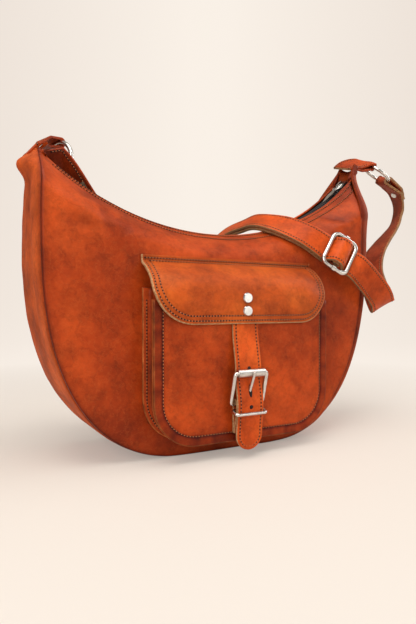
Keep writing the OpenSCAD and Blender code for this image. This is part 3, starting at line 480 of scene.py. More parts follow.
def sew(name, paths, body, pitch=STITCH_PITCH):
    """Thread arches and needle holes along paths, each a list of points and one of normals."""
    points, faces, mats = [], [], []
    for path, normals in paths:
        at, up = resample(path, normals, pitch)
        for i in range(len(at) - 1):
            step, n = at[i + 1] - at[i], unit(up[i] + up[i + 1])
            side = np.cross(unit(step), n)
            add_stub(points, faces, [[
                at[i] + step * share + n * rise + THREAD_R * (math.cos(a) * side + math.sin(a) * n)
                for a in circle(5)] for share, rise in ARCH])
            mats += [0] * (len(faces) - len(mats))
        # each needle hole is a dark stub, the painted shade inside the hole
        for i in range(len(at)):
            along = unit(at[min(i + 1, len(at) - 1)] - at[max(i - 1, 0)])
            side = np.cross(along, up[i])
            add_stub(points, faces, [[
                at[i] + up[i] * rise
                + HOLE_R * size * (0.95 * math.cos(a) * along + 0.8 * math.sin(a) * side)
                for a in circle(7)] for rise, size in HOLE])
            mats += [1] * (len(faces) - len(mats))
    return make_piece(name, points, faces, [thread, needle_hole_shade], body, faces_of=mats)


# %% [markdown]
# ## Panels and gusset
# Front and back are cut to the half moon outline, sewn to a long gusset with the seam turned
# inside, and their upper edges are folded over along the mouth. That is why the lips are round
# and the side seams are grooves. Painted shade darkens these grooves, the groove along the lip and
# the creases. A loaded bag of this leather creases softly where the strap pulls, so the panels get
# a few shallow creases and a slow unevenness. Cloth simulation could make them, but thick leather
# keeps its shape and the outline has to stay on its seams.

# %% Panels
EDGE_ROWS = [0, 0.35, 0.9, 1.6, 2.4, 3.4, 5.0, 7.5]
LIP_ROWS = [16, 12, 9, 7, 5.2, 3.8, 2.6, 1.25]
MIDDLE_ROWS = 20
ROLL, SET_IN = 2.6, 4.0
LIP_ARC = (30, 60, 90, 120, 150)
POCKET_REACH, POCKET_SPAN = 90, (12, 175)
creases = [
    # x and z of both ends, width, depth
    (-150, 196, -112, 192, 5, 1.0), (-118, 212, -104, 180, 6, 1.2), (-104, 182, -92, 196, 5, 0.9),
    (-132, 222, -110, 214, 6, 0.8), (-90, 170, -70, 186, 7, 0.7), (-150, 150, -128, 158, 7, 0.7),
    (112, 224, 150, 214, 4, 1.5), (118, 214, 158, 226, 5, 1.1), (132, 236, 160, 250, 5, 1.0),
    (96, 196, 130, 186, 8, 1.0), (132, 168, 152, 196, 8, 0.9), (120, 120, 146, 150, 9, 0.8),
    (20, 184, 70, 180, 6, 0.6), (-40, 186, 10, 180, 7, 0.6),
]


def crease_depth(x, z):
    total = np.zeros_like(x)
    for x0, z0, x1, z1, width, deep in creases:
        along = np.array([x1 - x0, z1 - z0], float)
        length = np.linalg.norm(along)
        along /= length
        t = ((x - x0) * along[0] + (z - z0) * along[1]) / length
        off = (x - x0) * along[1] - (z - z0) * along[0]
        taper = ease(np.clip(t, 0, 1) * 3) * ease((1 - np.clip(t, 0, 1)) * 3)
        ridge = 0.55 * bell(off, width * 1.3, width)
        total += deep * taper * (t > 0) * (t < 1) * (bell(off, 0, width) - ridge)
    return total


def slow_noise(points, size_mm, seed):
    out = [noise.noise(Vector((x / size_mm + seed, y / size_mm, z / size_mm)))
           for x, y, z in points.reshape(-1, 3)]
    return np.array(out).reshape(points.shape[:-1])


def under_pocket(x, z):
    """1 where the pocket and its flap lie on the panel, 0 away from them."""
    dx = np.maximum(np.abs(x - 3) - POCKET_REACH, 0)
    dz = np.maximum(np.maximum(z - POCKET_SPAN[1], POCKET_SPAN[0] - z), 0)
    return 1 - ease(np.hypot(dx, dz) / 22)


def right_side(places):
    """1 on the right flank, where the seam is set in and the gusset shows beside it."""
    return ease((places[:, 0] - 90) / 40) * ease((places[:, 1] - 6) / 36)


def rolled(from_edge, radius):
    """How far a surface has turned in near an edge that is rolled with this radius."""
    return radius * (1 - np.sqrt(np.maximum(0, 1 - np.clip(1 - from_edge / radius, 0, 1)**2)))


# %% Places on a panel
def panel_rows(side, inset=0.0, low=0.0):
    """Flat place of each grid point of a panel, and its distance from both edges."""
    x0, x1 = -HALF_W * LEFT_TIP * LIP_END, HALF_W * RIGHT_TIP * LIP_END
    mx = x0 + (x1 - x0) * ALONG
    mz = (mouth_at(mx) if side < 0 else back_mouth_at(mx)) - low
    outer = OUTLINE - (inset + SET_IN * right_side(OUTLINE))[:, None] * OUTWARD
    lip = columns(mx, mz)
    length = np.linalg.norm(lip - outer, axis=1)
    shares = [np.minimum(d / length, 0.42 * d / EDGE_ROWS[-1]) for d in EDGE_ROWS]
    tops = [1 - np.minimum(d / length, 0.42 * d / LIP_ROWS[0]) for d in LIP_ROWS]
    for k in range(1, MIDDLE_ROWS):
        t = k / MIDDLE_ROWS
        shares.append(shares[len(EDGE_ROWS) - 1] * (1 - t) + tops[0] * t)
    v = np.stack(shares + tops)[..., None]
    return outer[None] * (1 - v) + lip[None] * v, v[..., 0] * length, (1 - v[..., 0]) * length


def panel_surface(side):
    flat, from_edge, from_lip = panel_rows(side)
    x, z = flat[..., 0], flat[..., 1]
    grid = columns(x, side * (depth_at(side, x, z) - rolled(from_edge, ROLL)), z)
    free = 1 - (under_pocket(x, z) if side < 0 else 0 * x)
    calm = free * ease(from_edge / 14) * ease(from_lip / 10)
    uneven = 1.5 * slow_noise(grid, 46, 3.1 + side) + 0.5 * slow_noise(grid, 17, 8.3)
    sink = calm * (0.6 + uneven + (crease_depth(x, z) if side < 0 else 0))
    grid[..., 1] -= side * (sink + 0.35 * bell(from_lip, 5.2, 2.2))
    # painted shade: darker in the side seam's groove, in the groove along the lip and in the creases
    shade = np.clip(0.95 * np.exp(-from_edge / 2.2) + 0.25 * bell(from_lip, 5.5, 3.5)
                    + calm * 0.25 * crease_depth(x, z), 0, 1)
    return grid, shade, from_lip


# %% Front and back panel
def outward_normals(grid, side):
    normals = grid_normals(grid)
    return normals * np.sign(np.sum(normals[..., 1] * side))


def shell(name, grid, shade, node, side, inner_material=0):
    """A panel of even thickness with a round lip along its last row."""
    outward = outward_normals(grid, side)
    last, n = grid[-1], outward[-1]
    rise = unit(grid[-1] - grid[-2])
    arc = []
    for a in LIP_ARC:
        c, s = math.cos(math.radians(a)), math.sin(math.radians(a))
        arc.append(last - LEATHER / 2 * n + LEATHER / 2 * (c * n + s * rise))
    inner = (grid - LEATHER * outward)[::-1]
    band = [0] * (len(grid) + len(arc)) + [inner_material] * (len(inner) - 1) + [0]
    # the inner face gets half of the painted shade, as it lies inside the bag, and the lip's arc none
    return skin(name, [grid, np.array(arc), inner], [panel_leather, flesh_side], node, band,
                [shade, np.zeros((len(arc), COLUMNS)), 0.5 + 0 * shade])


front_grid, front_shade, front_from_lip = panel_surface(-1)
shell("front_panel_leather", front_grid, front_shade, "front_panel", -1, inner_material=1)
back_grid, back_shade, back_from_lip = panel_surface(1)
shell("back_panel_leather", back_grid, back_shade, "back_panel", 1)
print("front panel:", front_grid.shape, "back panel:", back_grid.shape)


# %% [markdown]
# ## Gusset
# The gusset is one strip of leather from horn to horn under the bag. An extruded ribbon would be
# quick, but a loaded bag bulges at its sides and folds at its left horn. So the strip is lofted
# from lines across its width, and each line is pushed out by its own amount.

# %% Gusset
BULGE_LEFT, BULGE_RIGHT = 4.0, 12.0
BEAK, BEAK_Z, BEAK_SPREAD = 12.0, 244.0, 9.5
FOLD, FOLD_AT, FOLD_SPREAD = 1.2, -0.35, 0.12
side_half = np.array([0.15, 0.3, 0.45, 0.6, 0.74, 0.84, 0.9, 0.94, 0.965, 0.985, 1])
ACROSS = np.concatenate([-side_half[::-1], [0], side_half])


def gusset_surface():
    x, z = OUTLINE[:, 0], OUTLINE[:, 1]
    bulge = np.where(x < 0, BULGE_LEFT, BULGE_RIGHT)
    bulge = bulge * (np.maximum(z, 0) / SHOULDER_Z)**0.6
    bulge = bulge * np.minimum(1, depth_at(-1, x, z) / HALF_D)
    set_in = right_side(OUTLINE)
    rows = []
    for s in ACROSS:
        half = depth_at(-1 if s < 0 else 1, x, z) - (LEATHER + SEAM) * (1 - set_in) - 0.3 * set_in
        out = bulge * math.sqrt(1 - abs(s)**4) - rolled((1 - abs(s)) * half, ROLL + SET_IN * set_in)
        beak = BEAK * bell(z, BEAK_Z, BEAK_SPREAD) * (x < 0) * max(0.0, 1 - abs(s + 0.1) * 1.25)**0.8
        fold = FOLD * bell(s, FOLD_AT, FOLD_SPREAD) * ease((z - 40) / 120) * (x < 0)
        p = OUTLINE + (out + beak - fold)[:, None] * OUTWARD
        rows.append(columns(p[:, 0], s * half, p[:, 1]))
    grid = np.array(rows)
    calm = ease((1 - np.abs(ACROSS)) * 4)[:, None] * ease(z / 50)[None]
    uneven = 0.9 * slow_noise(grid, 34, 5.7) + 0.4 * slow_noise(grid, 13, 1.9)
    grid[..., 0] += calm * uneven * OUTWARD[None, :, 0]
    grid[..., 2] += calm * uneven * OUTWARD[None, :, 1]
    # painted shade towards both edges, in the grooves of the side seams
    shade = 0.95 * np.exp(-(1 - np.abs(ACROSS))[:, None] * HALF_D / 2.5) + 0 * z[None]
    return grid, shade


gusset_grid, gusset_shade = gusset_surface()
normal = grid_normals(gusset_grid)
normal *= 1 if normal[len(ACROSS) // 2, COLUMNS // 2, 2] < 0 else -1
# the gusset's inner face gets half of the painted shade, as it lies inside the bag
skin("gusset_leather_strip", [gusset_grid, (gusset_grid - LEATHER * normal)[::-1]], [gusset_leather],
     "gusset", tones=[gusset_shade, 0.5 + 0 * gusset_shade])
print("gusset:", gusset_grid.shape)

# %% [markdown]
# ## Lining
# The lining is three pieces of cloth sewn into the mouth. It hardly shows, so it follows the
# leather at a small distance and has no folds of its own.

# %% Lining
LINING_T, LINING_GAP, LINING_LOW, HORN = 0.8, 1.8, 6.6, 25
near_d = LEATHER + LINING_GAP
far_d = near_d + LINING_T


def lining_piece(node, near, far):
    skin(node + "_cloth", [far, near[::-1]], [lining_cloth], node)


for side, node in ((-1, "lining_front"), (1, "lining_back")):
    flat = panel_rows(side, 2 * LEATHER + SEAM, LINING_LOW)[0][:, HORN:-HORN]
    x, z = flat[..., 0], flat[..., 1]
    lining_piece(node, *[columns(x, side * (depth_at(side, x, z) - d), z) for d in (near_d, far_d)])
skins = []
x, z = OUTLINE[HORN:-HORN, 0], OUTLINE[HORN:-HORN, 1]
for deep in (near_d, far_d):
    p = OUTLINE[HORN:-HORN] - deep * OUTWARD[HORN:-HORN]
    skins.append(np.array([
        columns(p[:, 0], s * (depth_at(-1 if s < 0 else 1, x, z) - far_d - SEAM), p[:, 1])
        for s in np.linspace(-1, 1, 13)]))
lining_piece("lining_gusset", *skins)
print("lining:", LINING_T, "mm thick")

# %% [markdown]
# ## Zip
# The zip has woven tapes, interlocking black plastic teeth and a nickel slider; only its right end
# shows between the lips. An array along a curve could repeat one tooth. Here each is placed by its
# angle on the mouth's arc, because the slider travels on the same arc and the row ends behind it.

# %% Zip tapes and teeth
ZIP_R = MOUTH_R + 4
ZIP_LEFT = -math.asin(HALF_W * LEFT_TIP * 0.87 / MOUTH_R)
ZIP_RIGHT = math.asin(HALF_W * RIGHT_TIP * 0.95 / MOUTH_R)
SLIDER_AT = ZIP_RIGHT - 0.75 * 13 / ZIP_R
CHAIN_HALF, TAPE_HALF_T = 2.5, 0.4
TOOTH_PITCH, FIRST_TOOTH = 1.5, ZIP_LEFT + 0.012
TOOTH = ((-0.9, 0.45, 0.7), (0.4, 0.75, 1.25), (2.5, 0.75, 1.3))


def on_zip(angle, y, rise=0.0):
    """Point on the zip: angle from the lowest point, rise above the tape."""
    r = ZIP_R - rise
    return np.array([r * math.sin(angle), y, ARC_TOP - r * math.cos(angle)])


across = np.linspace(CHAIN_HALF + 0.2, HALF_GAP - LEATHER + 0.9, 7)
tape_sag = [0, 0.1, 0.35, 0.6, 0.6, 0.3, 0]
tape_loop = [(y, TAPE_HALF_T - s) for y, s in zip(across, tape_sag)]
tape_loop += [(y, -TAPE_HALF_T - s) for y, s in zip(across, tape_sag)][::-1]
for side, node in ((-1, "zip_tape_front"), (1, "zip_tape_back")):
    sections = [[on_zip(a, side * y, rise) for y, rise in tape_loop]
                for a in np.linspace(ZIP_LEFT, ZIP_RIGHT, 120)]
    tube(node + "_cloth", sections, [tape_cloth], "bag", [node], caps="strip")

points, faces = [], []
count = int((SLIDER_AT - FIRST_TOOTH) * ZIP_R / TOOTH_PITCH)
for i in range(count):
    a = FIRST_TOOTH + i * TOOTH_PITCH / ZIP_R
    side = 1 if i % 2 else -1
    add_stub(points, faces, [[on_zip(a + da * half_l / ZIP_R, side * y, dr * half_h)
                              for da, dr in ((-1, -1), (1, -1), (1, 1), (-1, 1))]
                             for y, half_l, half_h in TOOTH])
make_piece("zip_teeth", points, faces, [tooth_plastic], "bag", ["zip_chain"])
print("zip teeth:", count)


# %% [markdown]
# ## Strap, tabs and rings
# Each strap is leather of one width bent along a route. A section holds a point and a normal at
# any place across the width, so the strap can lie flat, twist, or hug the curved wire of a ring.
# A flat curve with a bevel twists where it likes; here each station says which way it faces.

# %% Places and sections of a strap
def place(x, y, z):
    return np.array([x * HALF_W, y * HALF_D, z * SHOULDER_Z])


def stations(*rows):
    """Rows of place, in shares of the bag's half width, half depth and height, and of direction."""
    return [(place(*row[:3]), row[3:]) for row in rows]


def frames(rows, steps):
    """Smooth rows of place, width direction and curl, each with its own square frame."""
    flat = smooth([np.concatenate([r[0], r[1], [r[2] if len(r) > 2 else 0]]) for r in rows], steps)
    way = unit(np.gradient(flat[:, :3], axis=0))
    wide = unit(flat[:, 3:6] - np.sum(flat[:, 3:6] * way, 1, keepdims=True) * way)
    return list(zip(flat[:, :3], wide, np.cross(way, wide), flat[:, 6]))


def flat_section(p, w, n, curl):
    def at(u):
        u = np.asarray(u, float)[:, None]
        if abs(curl) < 0.002:
            return p + u * w, np.repeat(n[None], len(u), 0)
        return (p + (np.sin(u * curl) * w + (1 - np.cos(u * curl)) * n) / curl,
                np.cos(u * curl) * n - np.sin(u * curl) * w)
    return at


def flat_sections(rows, steps):
    return [flat_section(*row) for row in frames(rows, steps)]


def ring_section(ring, turn, sign, wrap):
    """Section that hugs a ring's wire; turn runs round the wire from the ring's outer side."""
    centre, across, down, axis = ring

    def at(u):
        a = HUG * np.asarray(u, float)[:, None] / RING_R
        radial = np.sin(a) * across + np.cos(a) * down
        n = math.cos(turn) * radial + math.sin(turn) * axis
        return centre + RING_R * radial + wrap * n, sign * n
    return at


def hugging(ring, first, last, sign, wrap):
    """Sections round a ring's wire, from one turn to another in degrees."""
    turns = np.linspace(first, last, int(abs(last - first) / HUG_STEP) + 1)
    return [ring_section(ring, math.radians(a), sign, wrap) for a in turns]


# %% Bands, bends and seams
def strap_piece(name, sections, width, thick, materials, body, nodes):
    """A leather band through its sections, with bevelled edges and a line between its layers."""
    half, soft, groove = width / 2, min(0.55, thick / 4), 0.35
    inner = np.linspace(-1, 1, 11) * (half - soft)
    top = np.concatenate([[-half], inner, [half]])
    high = np.concatenate([[thick / 2 - soft], np.full(11, thick / 2), [thick / 2 - soft]])
    u = np.concatenate([[-half + groove], top, [half - groove], top[::-1]])
    h = np.concatenate([[0], high, [0], -high[::-1]])
    points = []
    for at in sections:
        p, n = at(u)
        points.append(p + h[:, None] * n)
    face = [2, 2] + [0] * (len(top) - 3)
    band = face + [2, 2, 2, 2] + [1] * (len(top) - 3) + [2, 2]
    obj = tube(name, points, materials, body, nodes, band, len(materials) - 1)
    for end in (-2, -1):
        obj.data.polygons[end].use_smooth = False
    return obj


def bends(pieces, body, on_bag, on_body):
    """Bakes each piece's place into its points."""
    for piece in pieces:
        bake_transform(piece)


def seams_on(sections, places, lifts):
    """Paths and normals along a band, at places across it and on its upper or lower face."""
    paths = []
    for u in places:
        got = [at([u]) for at in sections]
        for lift in lifts:
            sign = 1 if lift > 0 else -1
            paths.append((np.array([p[0] + lift * n[0] for p, n in got]),
                          np.array([sign * n[0] for _, n in got])))
    return paths


# %% Rings and adjuster
UP = np.array([0, 0, 1.0])
RING_WIRE, RING_IN = 4.0, 29.0
RING_R = RING_IN / 2 + RING_WIRE / 2
HUG, HUG_GAP, HUG_STEP, STEPS = 0.86, 0.45, 12, 6
STRAP_W, STRAP_T, TAB_T, TAB_W = 28.0, 2.8, 2.4, 25.0
HANG, TURN, ROLLED = math.radians(30), math.radians(26), math.radians(20)
wrap_r = RING_WIRE / 2 + HUG_GAP + STRAP_T / 2

# right ring: the way it hangs, the way up across it, and its axis
right_at = place(1.292, 0, 1.46)
hang = np.array([math.cos(HANG), 0, -math.sin(HANG)])
hang_flat_up = np.array([math.sin(HANG), 0, math.cos(HANG)])
hang_up = math.cos(ROLLED) * hang_flat_up - np.array([0, math.sin(ROLLED), 0])
hang_across = -math.sin(ROLLED) * hang_flat_up - np.array([0, math.cos(ROLLED), 0])
right_centre = right_at + RING_R * hang
right_bar = right_at + 2 * RING_R * hang

# left ring: it hangs straight down and is turned towards the back
left_at = place(-0.806, 0.845, 1.3925)
left_in = np.array([math.cos(TURN), math.sin(TURN), 0])
left_across = np.array([-math.sin(TURN), math.cos(TURN), 0])
left_centre = left_at - RING_R * UP
left_bar = left_at - np.array([0, 0, 2 * RING_R])
leave = 0.61 * left_in - 0.79 * UP
leave_up = 0.79 * left_in + 0.61 * UP

# adjuster: along the strap, across it, and out of it
ADJ_WIRE, ADJ_L, BAR_WIRE = 4.4, 22.0, 3.0
adj_at = place(0.695, -1.38, 0.9)
adj_t = unit([0.80, -0.28, -0.53])
guess = np.array([0.58, 0.12, 0.80])
adj_w = unit(guess - (guess @ adj_t) * adj_t)
adj_n = np.cross(adj_t, adj_w)
under = ADJ_WIRE / 2 + 0.3 + STRAP_T / 2
over_bar = BAR_WIRE / 2 + 0.6 + 1.5 * STRAP_T
side_at = ADJ_L / 2 + ADJ_WIRE / 2
loop_r = BAR_WIRE / 2 + HUG_GAP + STRAP_T / 2
layer = STRAP_T + 0.6


def by_adjuster(*rows):
    """Rows given by their way along the strap and out of it, from the adjuster's middle."""
    return [(adj_at + t * adj_t + n * adj_n, adj_w) for t, n in rows]


# %% Stations of the shoulder strap
end_rows = stations((1.627, 0.09, 1.3025, -0.40, -0.88, -0.18),
                    (1.5945, 0.067, 1.3315, -0.30, -0.93, -0.20))
end_rows += [(right_bar + 3 * wrap_r * hang + 1.1 * wrap_r * hang_up, hang_across)]
drop_rows = [(right_bar + 3 * wrap_r * hang - 0.5 * wrap_r * hang_up, hang_across)]
drop_rows += stations(
    (1.582, 0.067, 1.3185, -0.30, -0.93, -0.20), (1.629, 0.11, 1.2675, -0.38, -0.90, -0.20),
    (1.640, 0.13, 1.215, -0.45, -0.87, -0.18), (1.605, 0.12, 1.150, -0.55, -0.80, -0.18),
    (1.530, 0.07, 1.085, -0.45, -0.88, -0.14), (1.435, 0.00, 1.020, -0.29, -0.95, -0.10),
    (1.340, -0.11, 0.955, -0.10, -0.99, -0.08), (1.262, -0.27, 0.890, 0.10, -0.99, 0.00),
    (1.206, -0.46, 0.815, 0.25, -0.95, 0.15), (1.180, -0.68, 0.740, 0.40, -0.82, 0.33),
    (1.160, -0.88, 0.680, 0.62, -0.62, 0.42), (1.128, -1.08, 0.648, 0.78, -0.36, 0.50),
    (1.080, -1.25, 0.668, 0.80, -0.22, 0.54), (1.010, -1.36, 0.715, 0.77, -0.17, 0.62))
hump_rows = [(by_adjuster((2 * side_at, -under))[0][0], (0.68, -0.04, 0.72))]
hump_rows += by_adjuster(*[(t * side_at, n) for t, n in (
    (1, -1.1 * under), (0.78, -0.74 * under), (0.516, 0.63 * under), (0.22, over_bar),
    (-0.22, over_bar), (-0.516, 0.63 * under), (-0.78, -0.74 * under), (-1, -1.1 * under))])
cross_rows = [(by_adjuster((-2 * side_at, -under))[0][0], (0.57, 0.20, 0.79))]
cross_rows += stations(
    (0.504, -0.965, 1.004, 0.57, 0.33, 0.75), (0.430, -0.565, 1.051, 0.56, 0.50, 0.66),
    (0.346, -0.085, 1.080, 0.54, 0.68, 0.50), (0.302, 0.33, 1.067, 0.52, 0.77, 0.38),
    (0.240, 0.77, 1.029, 0.45, 0.85, 0.30), (0.176, 1.23, 0.938, 0.30, 0.93, 0.15),
    (0.092, 1.48, 0.800, 0.12, 0.99, 0.05), (-0.055, 1.53, 0.670, 0.00, 1.00, 0.00),
    (-0.255, 1.55, 0.590, 0.00, 1.00, 0.00), (-0.400, 1.56, 0.630, -0.05, 1.00, 0.00),
    (-0.510, 1.56, 0.745, -0.10, 0.99, 0.00), (-0.590, 1.52, 0.890, -0.20, 0.98, 0.02),
    (-0.655, 1.42, 1.030, -0.32, 0.94, 0.03), (-0.715, 1.22, 1.130, -0.40, 0.91, 0.02))
cross_rows += [(left_bar + 3 * wrap_r * leave + 1.1 * wrap_r * leave_up, left_across, -0.3 / RING_R)]
bar_rows = by_adjuster(
    (-side_at, -1.1 * under - layer), (-0.45 * side_at, -under - layer * 0.8), (0, -loop_r),
    (0.7 * loop_r, -0.7 * loop_r), (loop_r, 0), (0.7 * loop_r, 0.7 * loop_r), (0, loop_r),
    (-loop_r * 0.9, loop_r * 0.44))
return_rows = [(p + layer * n, row[1])
               for (p, _, n, _), row in zip(frames(cross_rows, 1), cross_rows)][::-1]
print("stations:", len(end_rows + drop_rows + hump_rows + cross_rows + return_rows + bar_rows))

# %% [markdown]
# ## Shoulder strap
# One strap goes round the right ring, over the adjuster's bar, across the mouth, round the left
# ring and back to the bar. Bones could bend it as a whole. It is cut into five lengths instead,
# where the cut is hidden.

# %% Shoulder strap
right_ring = (right_centre, hang_across, hang, hang_up)
left_ring = (left_centre, left_across, -UP, left_in)
strap_sections = flat_sections(end_rows, STEPS) + hugging(right_ring, 75, 285, 1, wrap_r)
before_drop = len(strap_sections)
strap_sections += flat_sections(drop_rows + hump_rows + cross_rows, STEPS)
strap_sections += hugging(left_ring, 128, 308, -1, wrap_r)
before_return = len(strap_sections)
strap_sections += flat_sections(return_rows + bar_rows, STEPS)
# the cuts: at the lower fold, under the adjuster's wire, and on both sides of the left ring
FOLD_ROW, WIRE_ROW, LOOP_ROW, RETURN_ROW = 12, 8, 13, 2
fold = before_drop + FOLD_ROW * STEPS
under_wire = before_drop + (len(drop_rows) + WIRE_ROW) * STEPS
near_loop = before_drop + (len(drop_rows) + len(hump_rows) + LOOP_ROW) * STEPS
after_loop = before_return + RETURN_ROW * STEPS
STILL, HELD = 75, 20
beside = {side: (adj_at + side * STILL * adj_t, adj_at + side * HELD * adj_t) for side in (1, -1)}
to_loop = (place(-0.69, 1.3, 1.09), left_bar + 2 * wrap_r * leave)
EDGE_IN = STRAP_W / 2 - 3
for name, first, last, body, ends in (
        ("drop", 0, fold, None, None), ("adjuster", fold, under_wire, "adjuster", beside[1]),
        ("cross", under_wire, near_loop, "adjuster", beside[-1]),
        ("left_loop", near_loop, after_loop, "left_ring", to_loop),
        ("return", after_loop, len(strap_sections) - 1, "adjuster", beside[-1])):
    part = strap_sections[first:last + 1]
    rides = None if body else "bag"
    band = strap_piece("shoulder_strap_" + name, part, STRAP_W, STRAP_T,
                       [flesh_side, strap_leather, dark_edge], rides, ["shoulder_strap"])
    seams = seams_on(part, (-EDGE_IN, EDGE_IN), (-STRAP_T / 2, STRAP_T / 2))
    stitches = sew("shoulder_strap_" + name + "_stitches", seams, rides, STRAP_PITCH)
    if body:
        bends([band, stitches], body, *ends)
print("shoulder strap:", len(strap_sections), "sections")

# %% [markdown]
# ## Ring tabs
# Each tab is a short strap, folded round its ring and sewn to the horn. It is made of the same
# sections as the strap, so its leather lies close to the wire all the way round.

# %% Ring tabs
tab_wrap = RING_WIRE / 2 + HUG_GAP + TAB_T / 2
right_low = stations((1.122, 0, 1.4275, 0, -0.93, -0.36), (1.171, 0, 1.4355, -0.05, -0.84, -0.54),
                     (1.225, 0, 1.4405, -0.14, -0.85, -0.50))
right_high = stations((1.252, 0, 1.4745, -0.17, -0.85, -0.50), (1.218, 0, 1.4665, -0.13, -0.82, -0.56),
                      (1.180, 0, 1.4565, -0.07, -0.80, -0.60), (1.104, 0, 1.4395, 0, -0.88, -0.47),
                      (1.055, 0, 1.4160, 0, -0.93, -0.36))
left_low = stations((-0.965, 0.12, 1.294, 0.62, -0.50, 0.60), (-0.928, 0.41, 1.330, 0.66, -0.58, 0.46),
                    (-0.875, 0.69, 1.356, 0.55, -0.80, 0.15))
left_high = stations((-0.872, 0.71, 1.400, 0.55, -0.80, 0.15), (-0.933, 0.40, 1.347, 0.64, -0.55, 0.53),
                     (-0.980, 0.12, 1.310, 0.60, -0.45, 0.66), (-1.006, -0.10, 1.272, 0.60, -0.42, 0.68))


def tab_sections(low, hug, high):
    return flat_sections(low, STEPS) + hug + flat_sections(high, STEPS)


def narrowed(at, share):
    """The same section with its near side cut back."""
    return lambda u: at(np.asarray(u, float) * (1 - 0.4 * share) - 4.5 * share)


right_sections = tab_sections(
    right_low, hugging((right_centre, hang_across, -hang, hang_up), 285, 75, 1, tab_wrap), right_high)
left_sections = tab_sections(
    left_low, hugging((left_centre, -left_across, UP, left_in), 190, -10, 1, tab_wrap), left_high)
lows = len(left_low) * STEPS - STEPS + 1
left_sections = [
    narrowed(at, float(ease((i + 1) / lows) * ease((len(left_sections) - i) / (STEPS * 2.2))))
    for i, at in enumerate(left_sections)]
TAB_EDGE_IN = TAB_W / 2 - 2.6
right_root, left_root = place(1.177, 0, 1.4455), place(-0.928, 0.41, 1.335)
for name, sections, cuts, body, root, ring_at in (
        ("right", right_sections, [panel_leather, raw_edge], "right_ring", right_root, right_at),
        ("left", left_sections, [panel_leather], "left_ring", left_root, left_at)):
    name = "ring_tab_" + name
    tab = strap_piece(name + "_leather", sections, TAB_W, TAB_T, [panel_leather, flesh_side] + cuts,
                      None, [name])
    seams = seams_on(sections[len(sections) * 2 // 3:], (-TAB_EDGE_IN, TAB_EDGE_IN), (TAB_T / 2,))
    stitches = sew(name + "_stitches", seams, None)
    bends([tab, stitches], body, root, ring_at + 4 * unit(root - ring_at))
print("ring tabs:", len(right_sections), "and", len(left_sections), "sections")

# %% [markdown]
# ## Front pocket and flap
# The pocket is a box: a U-shaped front, and a gusset whose flanges are sewn to the front and to
# the bag. A bevelled plate would look stiff. The pieces are built from nested U lines instead,
# close together at a rim and wide apart in the middle, so the rim can be pressed flat and the
# middle can puff.

# %% Nested U shapes
POCKET_X, POCKET_HALF, POCKET_LOW, POCKET_TOP, POCKET_CORNER = 3.0, 87.0, 14.0, 134.0, 38.0
POCKET_RIM, POCKET_T, POCKET_D = 8.0, 2.2, 26.0
POCKET_FRONT = HALF_D + POCKET_D
CORNER_STEPS, LOW_STEPS = 12, 24
FORWARD = np.array([0, -1.0, 0])


def u_line(inset, half, low, top, corner, sides=16):
    """A U from upper left, round the lower corners, to upper right, set in by inset."""
    rise = min(1.0, (top - low - 4 - corner) / (half - corner))
    w, z0 = half - inset, low + min(inset, corner + rise * max(0.0, inset - corner))
    r = min(max(0.4, corner - inset), max(w, 0.01))
    a = math.pi / 2 * np.arange(CORNER_STEPS + 1) / CORNER_STEPS
    k = np.arange(sides)
    return np.concatenate([
        columns(-w, top + (z0 + r - top) * k / sides),
        columns(-w + r - r * np.cos(a), z0 + r - r * np.sin(a)),
        columns(-w + r + 2 * (w - r) * np.arange(1, LOW_STEPS) / LOW_STEPS, z0),
        columns(w - r + r * np.sin(a), z0 + r - r * np.cos(a)),
        columns(w, z0 + r + (top - z0 - r) * (k + 1) / sides)])


def rounded_plate(name, outer, inner, materials, body, nodes, shade):
    """A plate between two grids of nested lines, its rim as its own material."""
    rows, cols = outer.shape[:2]
    total = rows * cols
    faces, which = [], []
    for i in range(rows - 1):
        for k in range(cols - 1):
            a = i * cols + k
            faces.append([a, a + 1, a + cols + 1, a + cols])
            faces.append([total + a, total + a + cols, total + a + cols + 1, total + a + 1])
            which += [0 if i > 1 else 1] * 2
    rim = [(k, k + 1) for k in range(cols - 1)]
    rim += [(i * cols + k, (i + 1) * cols + k) for i in range(rows - 1) for k in (0, cols - 1)]
    faces += [[a, b, total + b, total + a] for a, b in rim]
    which += [1] * len(rim)
    points = np.concatenate([outer.reshape(-1, 3), inner.reshape(-1, 3)])
    obj = make_piece(name, points, faces, materials, body, nodes, which,
                     np.concatenate([shade.ravel(), shade.ravel()]))
    outward_faces(obj.data, weld=True)
    return obj


# %% Pocket front
POCKET_U = (POCKET_HALF, POCKET_LOW, POCKET_TOP, POCKET_CORNER)
STITCH_ROW = 8.2
insets = [0, 0.4, 1.0, 2.0, 3.6, 5.4, 6.8, 7.6, STITCH_ROW, 9.0, 10.2, 12, 15, 19, 24, 30, 37, 45,
          54, 64, 75, 86.9]
lines = np.array([u_line(k, *POCKET_U) for k in insets])
inset_of = np.array(insets)[:, None] + 0 * lines[..., 0]
x, z = lines[..., 0] + POCKET_X, lines[..., 1]
sit = columns(x, 0, z)
behind_chape = ease((np.abs(x + 1) - 12) / 16)
puff = ease((inset_of - POCKET_RIM) / 26) * (1.6 + 0.9 * slow_noise(sit, 38, 2.2)) * behind_chape
rim_wave = 0.45 * slow_noise(sit, 15, 6.6) * ease(inset_of / 2) * (inset_of < POCKET_RIM)
pinch = 0.55 * bell(inset_of, POCKET_RIM, 0.9)
rounding = 0.7 * np.clip(1 - inset_of / 1.0, 0, 1)**2
outer = columns(x, -(POCKET_FRONT + puff + rim_wave - pinch - rounding), z)
inner = columns(x, -(POCKET_FRONT - POCKET_T + puff * 0.8 + 0.3 * rounding), z)
along_rim = np.arange(lines.shape[1])[None]
stripes = 0.22 * np.sin(2.1 * along_rim) * np.sin(0.7 * along_rim + 1)
